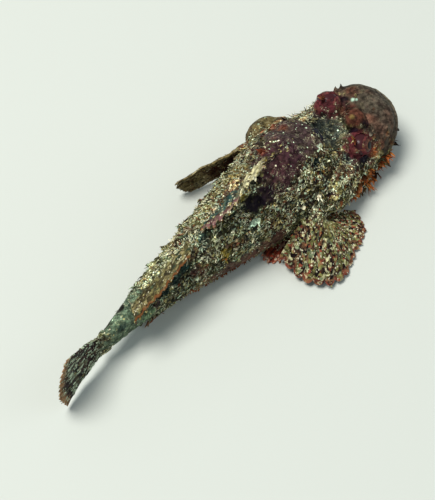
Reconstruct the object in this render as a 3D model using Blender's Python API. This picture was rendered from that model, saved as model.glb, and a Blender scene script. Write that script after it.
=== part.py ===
# Bearded scorpionfish, life size, at rest on the sea bed: a still display model.
# Metres, +Z up, head towards +X, the fish's left side towards +Y.
# The origin is on the flat of the belly, between the pectoral fins.
# "Station" is the distance along the bent spine from the tip of the lower jaw.

import math

import bmesh
import bpy
import numpy as np
from mathutils import Matrix, Vector

MM = 0.001
GAP = 0.3 * MM  # kept between pieces that touch

# Driving sizes of the fish
STANDARD_LENGTH = 166 * MM  # tip of the jaw to the root of the tail fin
TAIL_FIN_LENGTH = 34 * MM
ORIGIN_STATION = 75 * MM
HEAD_END = 57 * MM
TRUNK_END = 104 * MM
VENT_END = 138 * MM
HEAD_YAW = math.radians(-2)  # the head is turned a little to the fish's right
TAIL_YAW = math.radians(6)  # and the tail more, which makes a shallow C
EYE_RADIUS = 4.9 * MM
NOSE_ROUND = 10 * MM  # how far back the muzzle is rounded, seen from the side
NOSE_WIDE_ROUND = 16 * MM  # and seen from above, where it is a half circle
MUZZLE_HEIGHT = 19 * MM
MOUTH_FRONT, MOUTH_FRONT_HEIGHT = 0.5 * MM, 21.5 * MM
MOUTH_CORNER, MOUTH_CORNER_HEIGHT = 22 * MM, 8 * MM
MOUTH_SLIT = 0.6 * MM

# The body at a few stations, in millimetres: half width, back, belly, height of the widest level,
# and how full the section is above and below that level (2 is an ellipse, more is boxier)
BODY_STATIONS = (
    (0, 16.9, 30.5, 5.5, 20.5, 2.4, 2.1),
    (9, 17.1, 30.8, 1.6, 19.0, 2.5, 2.2),
    (18, 17.9, 28.8, -0.6, 16.5, 2.8, 2.4),
    (27, 19.0, 26.5, -0.8, 14.0, 3.0, 2.8),
    (36, 20.8, 26.8, -0.8, 13.5, 2.7, 2.8),
    (44, 22.2, 32.5, -0.8, 14.0, 2.2, 2.8),
    (51, 22.6, 41.5, -0.8, 14.0, 1.9, 2.8),
    (62, 21.3, 47.3, -0.8, 14.0, 1.75, 2.8),
    (72, 18.8, 48.5, -0.8, 13.5, 1.7, 2.7),
    (85, 16.0, 46.0, -0.8, 13.0, 1.7, 2.6),
    (100, 13.5, 41.0, -0.8, 13.0, 1.7, 2.5),
    (116, 10.5, 34.5, 0.2, 13.0, 1.8, 2.3),
    (132, 7.8, 28.0, 3.5, 14.0, 1.9, 2.1),
    (148, 5.5, 24.0, 6.6, 14.5, 2.0, 2.0),
    (160, 3.8, 21.8, 7.8, 14.5, 2.0, 2.0),
    (166, 2.6, 21.2, 8.0, 14.4, 2.0, 2.0),
)
ROUND_STEPS = 32  # corners round a body section
LEFT, RIGHT = 1, -1
SIDES = (("left", LEFT), ("right", RIGHT))
SIDES_ONLY = (LEFT, RIGHT)
# The head is tipped a little to its right, so the left eye is the higher
EYE_STATION = {LEFT: 23.4 * MM, RIGHT: 27.2 * MM}
EYE_SIDE = {LEFT: 11.8 * MM, RIGHT: 12.4 * MM}
EYE_HEIGHT = {LEFT: 27.5 * MM, RIGHT: 25.7 * MM}


def ease(x):
    """0 below 0 and 1 above 1, smooth between."""
    x = np.clip(x, 0, 1)
    return x * x * (3 - 2 * x)


# Spine: its heading, and where it runs over the floor

SPINE_STATIONS = np.arange(-30, 261, 1.0) * MM


def heading(station):
    to_head = 1 - ease((station - 30 * MM) / (50 * MM))
    to_tail = ease((station - 85 * MM) / (85 * MM))
    return HEAD_YAW * to_head + TAIL_YAW * to_tail


def spine_route():
    turn = heading(SPINE_STATIONS)
    step = np.diff(SPINE_STATIONS)[:, None]
    ways = np.stack([np.cos(turn), np.sin(turn)], axis=1)
    run = np.vstack([[0, 0], np.cumsum(-(ways[1:] + ways[:-1]) / 2 * step, axis=0)])
    start = [np.interp(ORIGIN_STATION, SPINE_STATIONS, run[:, i]) for i in (0, 1)]
    return run - start


SPINE = spine_route()


def place(station, side, height):
    """The point at a station, so far to the fish's left, and so high."""
    turn = float(heading(station))
    x = float(np.interp(station, SPINE_STATIONS, SPINE[:, 0]))
    y = float(np.interp(station, SPINE_STATIONS, SPINE[:, 1]))
    return Vector((x - math.sin(turn) * side, y + math.cos(turn) * side, height))


def turned(station, forward, side, up):
    """A direction given along the spine, to the left and up, in the model's axes."""
    turn = float(heading(station))
    return Vector(
        (
            math.cos(turn) * forward - math.sin(turn) * side,
            math.sin(turn) * forward + math.cos(turn) * side,
            up,
        )
    )


# Body surface

TABLE = np.array(BODY_STATIONS, float)


def table_value(column, station_mm):
    """A smooth curve through one column of the table, which never overshoots it."""
    s, v = TABLE[:, 0], TABLE[:, column]
    slope = np.diff(v) / np.diff(s)
    tangent = np.zeros(len(s))
    for k in range(1, len(s) - 1):
        before, after = slope[k - 1], slope[k]
        if before * after > 0:
            tangent[k] = 2 * before * after / (before + after)
    tangent[0], tangent[-1] = slope[0], slope[-1]
    i = int(np.clip(np.searchsorted(s, station_mm) - 1, 0, len(s) - 2))
    width = s[i + 1] - s[i]
    t = (station_mm - s[i]) / width
    start, end = v[i], v[i + 1]
    return (
        (2 * t**3 - 3 * t**2 + 1) * start
        + (t**3 - 2 * t**2 + t) * width * tangent[i]
        + (-2 * t**3 + 3 * t**2) * end
        + (t**3 - t**2) * width * tangent[i + 1]
    )


def section(station):
    """Half width, back, belly, widest level, fullness above and below, at a station."""
    mm = min(max(station / MM, 0), TABLE[-1, 0])
    half, top, bottom, level, above, below = (table_value(c, mm) for c in range(1, 7))
    if station < NOSE_WIDE_ROUND:
        half *= math.sqrt(max(0.0, 1 - (1 - station / NOSE_WIDE_ROUND) ** 2))
    if station < NOSE_ROUND:
        part = math.sqrt(max(0.0, 1 - (1 - station / NOSE_ROUND) ** 2))
        middle = MUZZLE_HEIGHT / MM
        top, bottom = middle + (top - middle) * part, middle + (bottom - middle) * part
        level = middle + (level - middle) * part
    return half * MM, top * MM, bottom * MM, level * MM, above, below


def section_point(station, angle, grown=0.0):
    """A point on the skin: angle 0 is the back and a quarter turn the left side."""
    half, top, bottom, level, above, below = section(station)
    half, top, bottom = half + grown, top + grown, bottom - grown
    upper = math.cos(angle) >= 0
    fullness = above if upper else below
    reach = top - level if upper else level - bottom
    side = half * math.copysign(abs(math.sin(angle)) ** (2 / fullness), math.sin(angle))
    height = level + reach * math.copysign(abs(math.cos(angle)) ** (2 / fullness), math.cos(angle))
    return place(station, side, max(height, 0.0))


def skin_normal(station, angle):
    small, turn = 0.5 * MM, math.radians(4)
    along = section_point(station - small, angle) - section_point(station + small, angle)
    around = section_point(station, angle + turn) - section_point(station, angle - turn)
    normal = along.cross(around)
    return normal.normalized()


def angle_at(station, height, side):
    """The angle at which the skin of one side has this height."""
    _, top, bottom, level, above, below = section(station)
    upper = height >= level
    reach = top - level if upper else level - bottom
    share = min(max(abs(height - level) / reach, 0), 1) ** ((above if upper else below) / 2)
    angle = math.acos(share) if upper else math.pi - math.acos(share)
    return side * angle


def skin_at(station, height, side, out=0.0):
    """The point on one side's skin at a station and height, moved out along its normal."""
    angle = angle_at(station, height, side)
    return section_point(station, angle) + skin_normal(station, angle) * out


# Meshes

def link(name, mesh, collection):
    shown = bpy.data.objects.new(name, mesh)
    collection.objects.link(shown)
    return shown


def grid_faces(faces, first, second, closed):
    """Quads between two rows of corners."""
    count = len(first)
    for k in range(count if closed else count - 1):
        n = (k + 1) % count
        faces.append((first[k], second[k], second[n], first[n]))


def body_length(name, collection, start, end, step, grown=0.0):
    """The body between two stations as a closed loft, with a pole at the tip of the muzzle."""
    count = max(2, math.ceil((end - start) / step))
    stations = list(np.linspace(start, end, count + 1))
    if start == 0:
        near = [NOSE_ROUND * x for x in (0.012, 0.06, 0.16, 0.32, 0.55, 0.8)]
        stations = near + [s for s in stations if s > NOSE_ROUND * 0.95]
    angles = [2 * math.pi * k / ROUND_STEPS for k in range(ROUND_STEPS)]
    points, rows, faces = [], [], []
    for station in stations:
        rows.append(list(range(len(points), len(points) + ROUND_STEPS)))
        points += [section_point(station, angle, grown) for angle in angles]
    for first, second in zip(rows, rows[1:]):
        grid_faces(faces, first, second, True)
    for row, station, front in ((rows[0], stations[0], True), (rows[-1], stations[-1], False)):
        _, top, bottom, level, _, _ = section(station)
        tip = start == 0 and front
        centre = place(-grown if tip else station, 0, MUZZLE_HEIGHT if tip else level)
        points.append(centre)
        for k in range(ROUND_STEPS):
            a, b = row[k], row[(k + 1) % ROUND_STEPS]
            faces.append((len(points) - 1, a, b) if front else (len(points) - 1, b, a))
    mesh = bpy.data.meshes.new(name)
    mesh.from_pydata(points, [], faces)
    mesh.validate()
    point_faces_out(mesh)
    return link(name, mesh, collection)


def point_faces_out(mesh):
    form = bmesh.new()
    form.from_mesh(mesh)
    bmesh.ops.triangulate(form, faces=form.faces)
    bmesh.ops.recalc_face_normals(form, faces=form.faces)
    form.to_mesh(mesh)
    form.free()


def sheet(name, collection, points, thick):
    """A thin closed solid round a grid of points: thick is half its thickness at each of them.
    Both faces are split along the same diagonals, so that they never cross."""
    points, thick = np.array(points, float), np.array(thick, float)
    columns, rows = thick.shape
    along = np.gradient(points, axis=0)
    down = np.gradient(points, axis=1)
    normal = np.cross(along, down)
    normal /= np.maximum(np.linalg.norm(normal, axis=2, keepdims=True), 1e-12)
    front, back = points + normal * thick[..., None], points - normal * thick[..., None]
    both = np.concatenate([front.reshape(-1, 3), back.reshape(-1, 3)])
    both[:, 2] = np.maximum(both[:, 2], 0)
    half = columns * rows
    faces = []
    for c in range(columns - 1):
        for r in range(rows - 1):
            a, b = c * rows + r, (c + 1) * rows + r
            for x, y, z in ((a, b, b + 1), (a, b + 1, a + 1)):
                faces += [(x, y, z), (z + half, y + half, x + half)]
    rim = [c * rows for c in range(columns)]
    rim += [(columns - 1) * rows + r for r in range(1, rows)]
    rim += [c * rows + rows - 1 for c in range(columns - 2, -1, -1)]
    rim += [r for r in range(rows - 2, 0, -1)]
    for a, b in zip(rim, rim[1:] + rim[:1]):
        faces += [(b, a, a + half), (b, a + half, b + half)]
    mesh = bpy.data.meshes.new(name)
    mesh.from_pydata(both.tolist(), [], faces)
    mesh.validate()
    point_faces_out(mesh)
    return link(name, mesh, collection)


def ellipsoid(name, collection, centre, radii, axis=Vector((0, 0, 1)), segments=16, rings=10):
    """A sphere scaled by three radii, its third radius along the axis."""
    form = bmesh.new()
    bmesh.ops.create_uvsphere(form, u_segments=segments, v_segments=rings, radius=1)
    shape = Matrix.Diagonal((*radii, 1))
    turn = axis.to_track_quat("Z", "Y").to_matrix().to_4x4()
    bmesh.ops.transform(form, matrix=Matrix.Translation(centre) @ turn @ shape, verts=form.verts)
    return as_object(name, collection, form)


def spike(name, collection, root, way, length, radius, corners=5):
    """A bony spine: a tapered cone that starts a little inside what it grows from."""
    form = bmesh.new()
    bmesh.ops.create_cone(
        form, cap_ends=True, segments=corners, radius1=radius, radius2=radius * 0.12, depth=length
    )
    turn = way.normalized().to_track_quat("Z", "Y").to_matrix().to_4x4()
    stand = Matrix.Translation((0, 0, length / 2))
    bmesh.ops.transform(form, matrix=Matrix.Translation(root) @ turn @ stand, verts=form.verts)
    return as_object(name, collection, form)


def as_object(name, collection, form):
    bmesh.ops.triangulate(form, faces=form.faces)
    bmesh.ops.recalc_face_normals(form, faces=form.faces)
    mesh = bpy.data.meshes.new(name)
    form.to_mesh(mesh)
    form.free()
    return link(name, mesh, collection)


def rod(name, collection, points, radius):
    """A round ridge along a route, as a closed mesh: each point has its own share of the radius."""
    curve = bpy.data.curves.new(name, "CURVE")
    curve.dimensions = "3D"
    curve.bevel_depth = radius
    curve.bevel_resolution = 1
    curve.use_fill_caps = True
    spline = curve.splines.new("POLY")
    spline.points.add(len(points) - 1)
    last = len(points) - 1
    for k, point in enumerate(points):
        spline.points[k].co = (*point, 1)
        spline.points[k].radius = 0.35 + 0.65 * math.sin(math.pi * (0.12 + 0.76 * k / last)) ** 0.5
    shown = link(name, curve, collection)
    bpy.context.view_layer.update()
    graph = bpy.context.evaluated_depsgraph_get()
    mesh = bpy.data.meshes.new_from_object(shown.evaluated_get(graph))
    form = bmesh.new()
    form.from_mesh(mesh)
    bmesh.ops.remove_doubles(form, verts=form.verts, dist=1e-6)
    bmesh.ops.recalc_face_normals(form, faces=form.faces)
    form.to_mesh(mesh)
    form.free()
    bpy.data.objects.remove(shown)
    return link(name, mesh, collection)


# Booleans

def new_collection(name, parent=None):
    made = bpy.data.collections.new(name)
    (parent or bpy.context.scene.collection).children.link(made)
    return made


def apply_boolean(target, operation, pieces, solver="EXACT"):
    """Joins or cuts with a whole collection at once, then removes the collection's objects."""
    if not pieces.objects:
        return
    step = target.modifiers.new(operation.title(), "BOOLEAN")
    step.operation = operation
    step.operand_type = "COLLECTION"
    step.collection = pieces
    step.solver = solver
    bpy.context.view_layer.update()
    graph = bpy.context.evaluated_depsgraph_get()
    made = bpy.data.meshes.new_from_object(target.evaluated_get(graph))
    target.modifiers.clear()
    target.data = made
    made.name = target.name
    for piece in list(pieces.objects):
        bpy.data.objects.remove(piece)


def closed_surfaces(mesh):
    """The mesh's separate closed surfaces, largest first, as lists of face numbers."""
    form = bmesh.new()
    form.from_mesh(mesh)
    bmesh.ops.remove_doubles(form, verts=form.verts, dist=1e-7)
    form.faces.ensure_lookup_table()
    seen, groups = set(), []
    for face in form.faces:
        if face.index in seen:
            continue
        group, open_faces = [], [face]
        seen.add(face.index)
        while open_faces:
            near = open_faces.pop()
            group.append(near)
            for edge in near.edges:
                for other in edge.link_faces:
                    if other.index not in seen:
                        seen.add(other.index)
                        open_faces.append(other)
        volume = 0.0
        for f in group:
            corners = [v.co for v in f.verts]
            for b, c in zip(corners[1:], corners[2:]):
                volume += corners[0].dot(b.cross(c)) / 6
        groups.append((volume, group))
    groups.sort(key=lambda pair: -pair[0])
    return form, [group for _, group in groups]


def keep_surface(target, which=0):
    """Keeps one closed surface of the mesh: the largest, unless another is named."""
    form, groups = closed_surfaces(target.data)
    wanted = {f.index for f in groups[which]}
    bmesh.ops.delete(form, geom=[f for f in form.faces if f.index not in wanted], context="FACES")
    bmesh.ops.triangulate(form, faces=form.faces)
    form.to_mesh(target.data)
    form.free()


# Materials

COLOURS = {
    "skin": ((0.16, 0.13, 0.11), 0.6),
    "jaw_skin": ((0.13, 0.08, 0.07), 0.55),
    "cheek": ((0.15, 0.10, 0.09), 0.6),
    "fin": ((0.30, 0.22, 0.15), 0.5),
    "tail": ((0.22, 0.15, 0.12), 0.5),
    "eye": ((0.16, 0.03, 0.04), 0.15),
}


def paint(target, finish):
    material = bpy.data.materials.get(finish)
    if material is None:
        material = bpy.data.materials.new(finish)
        material.use_nodes = True
        colour, rough = COLOURS[finish]
        shader = material.node_tree.nodes["Principled BSDF"]
        shader.inputs["Base Color"].default_value = (*colour, 1)
        shader.inputs["Roughness"].default_value = rough
        shader.inputs["Metallic"].default_value = 0
        material.diffuse_color = (*colour, 1)
    target.data.materials.clear()
    target.data.materials.append(material)


def finish_node(target, finish):
    paint(target, finish)
    target.data.shade_smooth()
    target.data.set_sharp_from_angle(angle=math.radians(50))


# Head

EYE_FORWARD, EYE_OUT, EYE_UP = 0.28, 0.72, 0.62  # where the pupils look
DOME_RADII = (6.5 * MM, 6.1 * MM, 6.3 * MM)
DOME_SINK = 1.6 * MM  # the dome sits behind the eyeball, so that the pupil looks out of it


def eye_centre(side):
    return place(EYE_STATION[side], side * EYE_SIDE[side], EYE_HEIGHT[side])


def eye_way(side):
    return turned(EYE_STATION[side], EYE_FORWARD, side * EYE_OUT, EYE_UP).normalized()


def dome_centre(side):
    return eye_centre(side) - eye_way(side) * DOME_SINK


def mouth_height(station):
    share = (station - MOUTH_FRONT) / (MOUTH_CORNER - MOUTH_FRONT)
    return MOUTH_FRONT_HEIGHT + (MOUTH_CORNER_HEIGHT - MOUTH_FRONT_HEIGHT) * share


def mouth_cutter(collection):
    """A thin bent sheet: up the line of the mouth, then down behind the jaw's hinge."""
    ahead, behind, below = -4 * MM, 7 * MM, -3 * MM
    line = [
        (ahead, mouth_height(ahead)),
        (MOUTH_CORNER, MOUTH_CORNER_HEIGHT),
        (MOUTH_CORNER + behind, below),
    ]
    half = MOUTH_SLIT / 2
    outline = [(s, z + half) for s, z in line[:2]] + [(line[2][0] + half, line[2][1])]
    outline += [(line[2][0] - half, line[2][1])]
    outline += [(line[1][0] - half, line[1][1] - half), (line[0][0], line[0][1] - half)]
    reach = 30 * MM
    points = [place(s, side * reach, z) for side in SIDES_ONLY for s, z in outline]
    count = len(outline)
    faces = [tuple(range(count)), tuple(range(2 * count - 1, count - 1, -1))]
    for k in range(count):
        n = (k + 1) % count
        faces.append((k, k + count, n + count, n))
    mesh = bpy.data.meshes.new("mouth_cutter")
    mesh.from_pydata(points, [], faces)
    point_faces_out(mesh)
    return link("mouth_cutter", mesh, collection)


def front_station(lift):
    """Where the muzzle's front meets the mouth's line, moved up by lift."""
    near, far = 0.0, NOSE_ROUND
    for _ in range(30):
        middle = (near + far) / 2
        if section(middle)[1] < mouth_height(middle) + lift:
            near = middle
        else:
            far = middle
    return far


def lip_route(lift, out):
    """Points along the mouth's line, from the left corner round the muzzle to the right one."""
    front, last = front_station(lift), MOUTH_CORNER - 1.5 * MM
    steps = 9
    shares = [1 - math.cos(math.pi / 2 * k / steps) for k in range(1, steps + 1)]
    stations = [front + (last - front) * share for share in shares]
    routes = [
        [skin_at(s, mouth_height(s) + lift, side, out) for s in stations] for side in SIDES_ONLY
    ]
    tip = place(front - out, 0, mouth_height(front) + lift)
    return routes[0][::-1] + [tip] + routes[1]


def eye_dome(side, collection):
    """The flesh round the eye."""
    return ellipsoid(f"dome{side}", collection, dome_centre(side), DOME_RADII, eye_way(side), 20, 12)


KNOB_PLACE = (20.5 * MM, -0.8 * MM, 28 * MM)  # station, side, height
KNOB_RADII = (4.2 * MM, 4.0 * MM, 4.8 * MM)
BRIDGE_PLACE = (30 * MM, 0, 24 * MM)  # between the eyes
BRIDGE_RADII = (5.4 * MM, 3.4 * MM, 9 * MM)
NOSTRIL_STATION, NOSTRIL_HEIGHT = 14 * MM, 23.5 * MM
PLATE_STATIONS, PLATE_LIFT = (8, 12, 16, 20), 3.0 * MM
# Ridges: station and height of their corners, in millimetres
CHEEK_RIDGE = ((14, 16.0), (18, 16.8), (22, 17.4), (26, 17.5), (30, 17.1), (34, 16.4))
CREST_RIDGE = ((34, 25.8), (38, 26.6), (43, 29.5), (48, 33.0))


def head_ridges(collection):
    """The bony ridges and the bumps of the snout that shape the head."""
    knob = place(*KNOB_PLACE)
    ellipsoid("snout_knob", collection, knob, KNOB_RADII, turned(0, 1, 0, 0.25), 12, 8)
    bridge = place(*BRIDGE_PLACE)
    ellipsoid("bridge", collection, bridge, BRIDGE_RADII, turned(0, 1, 0, 0.05), 12, 8)
    for side in SIDES_ONLY:
        nostril = skin_at(NOSTRIL_STATION, NOSTRIL_HEIGHT, side, 0.2 * MM)
        spike("nostril", collection, nostril, turned(0, 0.3, side * 0.3, 1), 2.2 * MM, 1.1 * MM, 6)
        cheek = [skin_at(s * MM, h * MM, side, 0.1 * MM) for s, h in CHEEK_RIDGE]
        rod("cheek_ridge", collection, cheek, 1.5 * MM)
        plate = [skin_at(s * MM, mouth_height(s * MM) + PLATE_LIFT, side, -0.2 * MM) for s in PLATE_STATIONS]
        rod("upper_jaw_plate", collection, plate, 1.9 * MM)
        crest = [skin_at(s * MM, h * MM, side, 0.0) for s, h in CREST_RIDGE]
        rod("crest", collection, crest, 1.3 * MM)


def flap(collection, root, way, across, length, width):
    """A fleshy flap: a flat tongue that widens, then tapers to a ragged tip."""
    way, across = way.normalized(), across.normalized()
    out = way.cross(across) * 0.16 * length
    shares = (0.0, 0.4, 0.75, 1.0)
    widths = (0.75, 1.0, 0.8, 0.4)
    tips = (0.8, 1.0, 0.66)
    points, thick = [], []
    for column, side in enumerate((-0.5, 0.0, 0.5)):
        run = []
        for share, wide in zip(shares, widths):
            reach = length * share * (1 + (tips[column] - 1) * share)
            run.append(root + way * reach + across * side * width * wide + out * share**2)
        points.append(run)
        thick.append([0.45 * MM, 0.38 * MM, 0.32 * MM, 0.26 * MM])
    return sheet("flap", collection, points, thick)


def skin_flap(collection, station, height, side, way, length, width):
    """A flap rooted just inside the skin of one side, its breadth along the fish."""
    station, height = station * MM, height * MM
    root = skin_at(station, height, side, -0.7 * MM)
    forward, out, up = way
    grown = turned(station, forward, side * out, up)
    along = turned(station, 1, 0, 0.15)
    across = (along - grown * along.dot(grown) / grown.dot(grown)).normalized()
    flap(collection, root, grown, across, (length + 0.7) * MM, width * MM)


# Flaps: station, height, direction (forward, out, up), length, width, in millimetres
BEARD = (
    (4.0, 13.0, (0.9, 0.5, -0.5), 5.0, 3.2),
    (7.5, 9.0, (0.7, 0.8, -0.5), 6.0, 3.4),
    (11.5, 6.0, (0.3, 1.0, -0.4), 6.5, 3.6),
    (15.5, 9.5, (0.0, 1.0, -0.35), 6.0, 3.4),
    (16.5, 4.0, (0.0, 1.0, -0.2), 6.0, 3.4),
    (20.5, 3.5, (-0.2, 1.0, -0.15), 6.0, 3.2),
)
CHEEK_FLAPS = (
    (28.5, 6.0, (-0.1, 1.0, -0.2), 5.0, 3.2),
    (32.5, 5.0, (-0.3, 1.0, -0.1), 5.5, 3.4),
    (22.5, 12.5, (-0.2, 1.0, -0.1), 3.4, 2.6),
    (29.0, 12.0, (-0.3, 1.0, 0.0), 3.0, 2.4),
)
HEAD_FLAPS = (
    (13.0, 25.6, (0.3, 0.2, 1.0), 3.0, 1.8),
    (52.5, 36.0, (-0.4, 0.8, 0.6), 3.6, 2.4),
    (41.0, 29.2, (-0.6, 0.4, 1.0), 3.6, 2.2),
)
SHOULDER_FLAPS = (
    (68.0, 36.0, (-0.8, 0.8, 0.4), 3.4, 2.2),
    (77.0, 33.0, (-0.8, 0.8, 0.3), 3.4, 2.2),
    (86.0, 29.5, (-0.8, 0.8, 0.3), 3.2, 2.2),
    (95.0, 26.5, (-0.8, 0.8, 0.2), 3.2, 2.0),
    (98.0, 12.0, (-0.8, 1.0, 0.0), 3.0, 2.0),
)
REAR_FLAPS = (
    (109.0, 24.0, (-0.8, 0.8, 0.2), 3.0, 2.0),
    (119.0, 22.0, (-0.8, 0.8, 0.2), 3.0, 2.0),
    (129.0, 20.5, (-0.8, 0.8, 0.2), 2.8, 1.8),
    (113.0, 10.5, (-0.8, 1.0, 0.0), 2.8, 1.8),
)


def grow_flaps(collection, flaps):
    for side in SIDES_ONLY:
        for station, height, way, length, width in flaps:
            skin_flap(collection, station, height, side, way, length, width)


def brow_flaps(collection):
    """A tuft of skin over each eye."""
    length, width, sunk = 5.0 * MM, 2.2 * MM, 5.2 * MM
    for side in SIDES_ONLY:
        back = turned(EYE_STATION[side], -0.45, side * 0.15, 1)
        root = dome_centre(side) + back.normalized() * sunk
        flap(collection, root, back, turned(EYE_STATION[side], 1, 0, 0.45), length, width)


HEAD_SPINES = (
    # station, height, forward, out, up, length: all in millimetres but the direction
    (15.0, 24.6, -0.4, 0.1, 1.0, 2.6),
    (20.0, 25.4, -0.5, 0.5, 1.0, 3.0),
    (34.5, 26.4, -0.9, 0.4, 0.9, 3.6),
    (39.5, 28.0, -1.0, 0.3, 0.9, 3.8),
    (44.5, 31.0, -1.0, 0.3, 0.8, 3.8),
    (49.0, 34.5, -1.0, 0.4, 0.7, 3.6),
    (25.5, 17.4, -1.0, 1.0, 0.1, 2.8),
    (30.5, 17.0, -1.0, 1.0, 0.0, 3.0),
    (33.0, 18.0, -1.0, 1.2, 0.1, 4.0),
    (33.2, 14.0, -1.0, 1.2, -0.1, 3.6),
    (33.0, 10.0, -0.9, 1.2, -0.3, 3.0),
)


def head_spines(collection):
    for side in SIDES_ONLY:
        for station, height, forward, out, up, length in HEAD_SPINES:
            root = skin_at(station * MM, height * MM, side, -1.0 * MM)
            way = turned(station * MM, forward, side * out, up)
            spike("spine", collection, root, way, (length + 1.0) * MM, 1.0 * MM)


def make_head(model, tools):
    """The whole head is lofted, parted by the mouth's slit, and each part gets its own forms."""
    head = body_length("head", model, 0, HEAD_END, 3.2 * MM)
    mouth_cutter(tools)
    apply_boolean(head, "DIFFERENCE", tools)
    jaw = link("lower_jaw", head.data.copy(), model)
    keep_surface(head, 0)
    keep_surface(jaw, 1)

    for side in SIDES_ONLY:
        eye_dome(side, tools)
    head_ridges(tools)
    head_spines(tools)
    grow_flaps(tools, CHEEK_FLAPS + HEAD_FLAPS)
    brow_flaps(tools)
    rod("upper_lip", tools, lip_route(1.35 * MM, -0.2 * MM), 1.0 * MM)
    apply_boolean(head, "UNION", tools)
    for side in SIDES_ONLY:
        ellipsoid("socket", tools, eye_centre(side), (EYE_RADIUS + GAP,) * 3, eye_way(side), 20, 12)
    apply_boolean(head, "DIFFERENCE", tools)
    keep_surface(head)

    rod("lower_lip", tools, lip_route(-1.35 * MM, 0.1 * MM), 1.0 * MM)
    grow_flaps(tools, BEARD)
    apply_boolean(jaw, "UNION", tools)
    keep_surface(jaw)
    finish_node(head, "skin")
    finish_node(jaw, "jaw_skin")
    return head, jaw


def make_eyes(model):
    for name, side in SIDES:
        ball = ellipsoid(f"eye_{name}", model, eye_centre(side), (EYE_RADIUS,) * 3, eye_way(side), 16, 10)
        finish_node(ball, "eye")


# Gill covers

COVER_STATION = {LEFT: 45.4 * MM, RIGHT: 45.6 * MM}
COVER_BOW = {LEFT: 3.4 * MM, RIGHT: 1.9 * MM}  # the left one is held a little open
COVER_HEIGHT = 16.5 * MM
COVER_LENGTH, COVER_DEPTH = 7.6 * MM, 11.5 * MM
COVER_EDGE = 0.7 * MM  # its thickness at the rim
COVER_SPINES = ((20 * MM, 5.0 * MM), (16 * MM, 4.6 * MM))  # height and length


def make_gill_cover(name, side, model, tools):
    """A bowed plate over the cheek and shoulder, blunt in front and pointed behind."""
    sectors, rings = 22, 4
    outer, inner = [], []
    for ring in range(rings + 1):
        share = ring / rings
        for k in range(sectors):
            turn = 2 * math.pi * k / sectors
            back = max(0.0, math.cos(turn))
            length = COVER_LENGTH * (1 + 0.22 * back**4)
            station = COVER_STATION[side] + length * share * math.cos(turn)
            height = COVER_HEIGHT + COVER_DEPTH * share * math.sin(turn) * (1 - 0.25 * back)
            bow = COVER_EDGE + COVER_BOW[side] * (1 - share**2)
            outer.append(skin_at(station, height, side, GAP + bow))
            inner.append(skin_at(station, height, side, GAP))
    count = len(outer)
    faces = []
    for ring in range(rings):
        for k in range(sectors):
            n = (k + 1) % sectors
            a, b = ring * sectors + k, ring * sectors + n
            c, d = a + sectors, b + sectors
            faces += [(a, c, d), (d + count, c + count, a + count)]
            if ring:
                faces += [(a, d, b), (b + count, d + count, a + count)]
    last = rings * sectors
    for k in range(sectors):
        n = (k + 1) % sectors
        faces += [(last + k, last + k + count, last + n + count), (last + k, last + n + count, last + n)]
    points = [tuple(p) for p in outer + inner]
    mesh = bpy.data.meshes.new(name)
    mesh.from_pydata(points, [], faces)
    form = bmesh.new()
    form.from_mesh(mesh)
    bmesh.ops.remove_doubles(form, verts=form.verts, dist=1e-6)
    bmesh.ops.recalc_face_normals(form, faces=form.faces)
    form.to_mesh(mesh)
    form.free()
    cover = link(name, mesh, model)
    for height, length in COVER_SPINES:
        root = skin_at(COVER_STATION[side] + 3 * MM, height, side, COVER_BOW[side] * 0.8)
        way = turned(COVER_STATION[side], -1, side * 0.32, 0.12)
        spike("cover_spine", tools, root, way, length, 0.9 * MM)
    apply_boolean(cover, "UNION", tools)
    keep_surface(cover)
    finish_node(cover, "cheek")
    return cover


# Fins

RAY_HALF, WEB_HALF, TIP_HALF = 0.62 * MM, 0.27 * MM, 0.2 * MM


def fin_grid(rays, ray_path, rows, root_half, notch, ridge=RAY_HALF, web=WEB_HALF):
    """Grid and thickness of a fin. ray_path(u, t) is a point on the ray at share u of the fan,
    t of the way to its tip. Between two rays the web ends short of the tips by notch."""
    columns = 2 * rays - 1
    points, thick = [], []
    for c in range(columns):
        on_ray = c % 2 == 0
        u = c / (columns - 1)
        end = 1 if on_ray else 1 - notch
        column, halves = [], []
        for r in range(rows):
            t = end * r / (rows - 1)
            column.append(ray_path(u, t))
            body = ridge + (TIP_HALF - ridge) * t if on_ray else web + (TIP_HALF - web) * t**3
            halves.append(body + (root_half - body) * (1 - ease(t / 0.28)))
        points.append(column)
        thick.append(halves)
    return points, thick


def trim_to_body(fin, tools, grown_from, grown_to):
    """Cuts away whatever of a fin lies in the body or within the gap round it."""
    body_length("grown_body", tools, grown_from, grown_to, 4.5 * MM, GAP)
    apply_boolean(fin, "DIFFERENCE", tools)
    keep_surface(fin)


def fan_point(root, forward, side, up_from, up_to, station, t, sag):
    """A ray that runs level at first and bows down to its tip."""
    flat = turned(station, forward, side, 0) * t
    height = up_to + (up_from - up_to) * (1 - t**sag)
    return Vector((root.x + flat.x, root.y + flat.y, height))


PECTORAL_RAYS = 17
PECTORAL_STATION = {LEFT: 56 * MM, RIGHT: 56.5 * MM}
PECTORAL_LOW, PECTORAL_HIGH = 4.5 * MM, 21.5 * MM
PECTORAL_SLANT = 4.5 * MM
PECTORAL_LOBE = (3.0 * MM, 3.4 * MM, 10.5 * MM)  # the fleshy base of the fin
SWEPT_LENGTH, SWEPT_MORE = 24 * MM, 12 * MM
SWEPT_BEARING = 20
FLOOR_TIP = 0.5 * MM
# The spread fan's rays by bearing (0 is ahead, 90 straight out), with their lengths in millimetres
FAN_BEARINGS = (12, 45, 78, 95, 112, 125, 144, 160, 176)
FAN_LENGTHS = (17.5, 19.0, 18.0, 20.5, 25.5, 28, 26, 23.5, 22)


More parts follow.
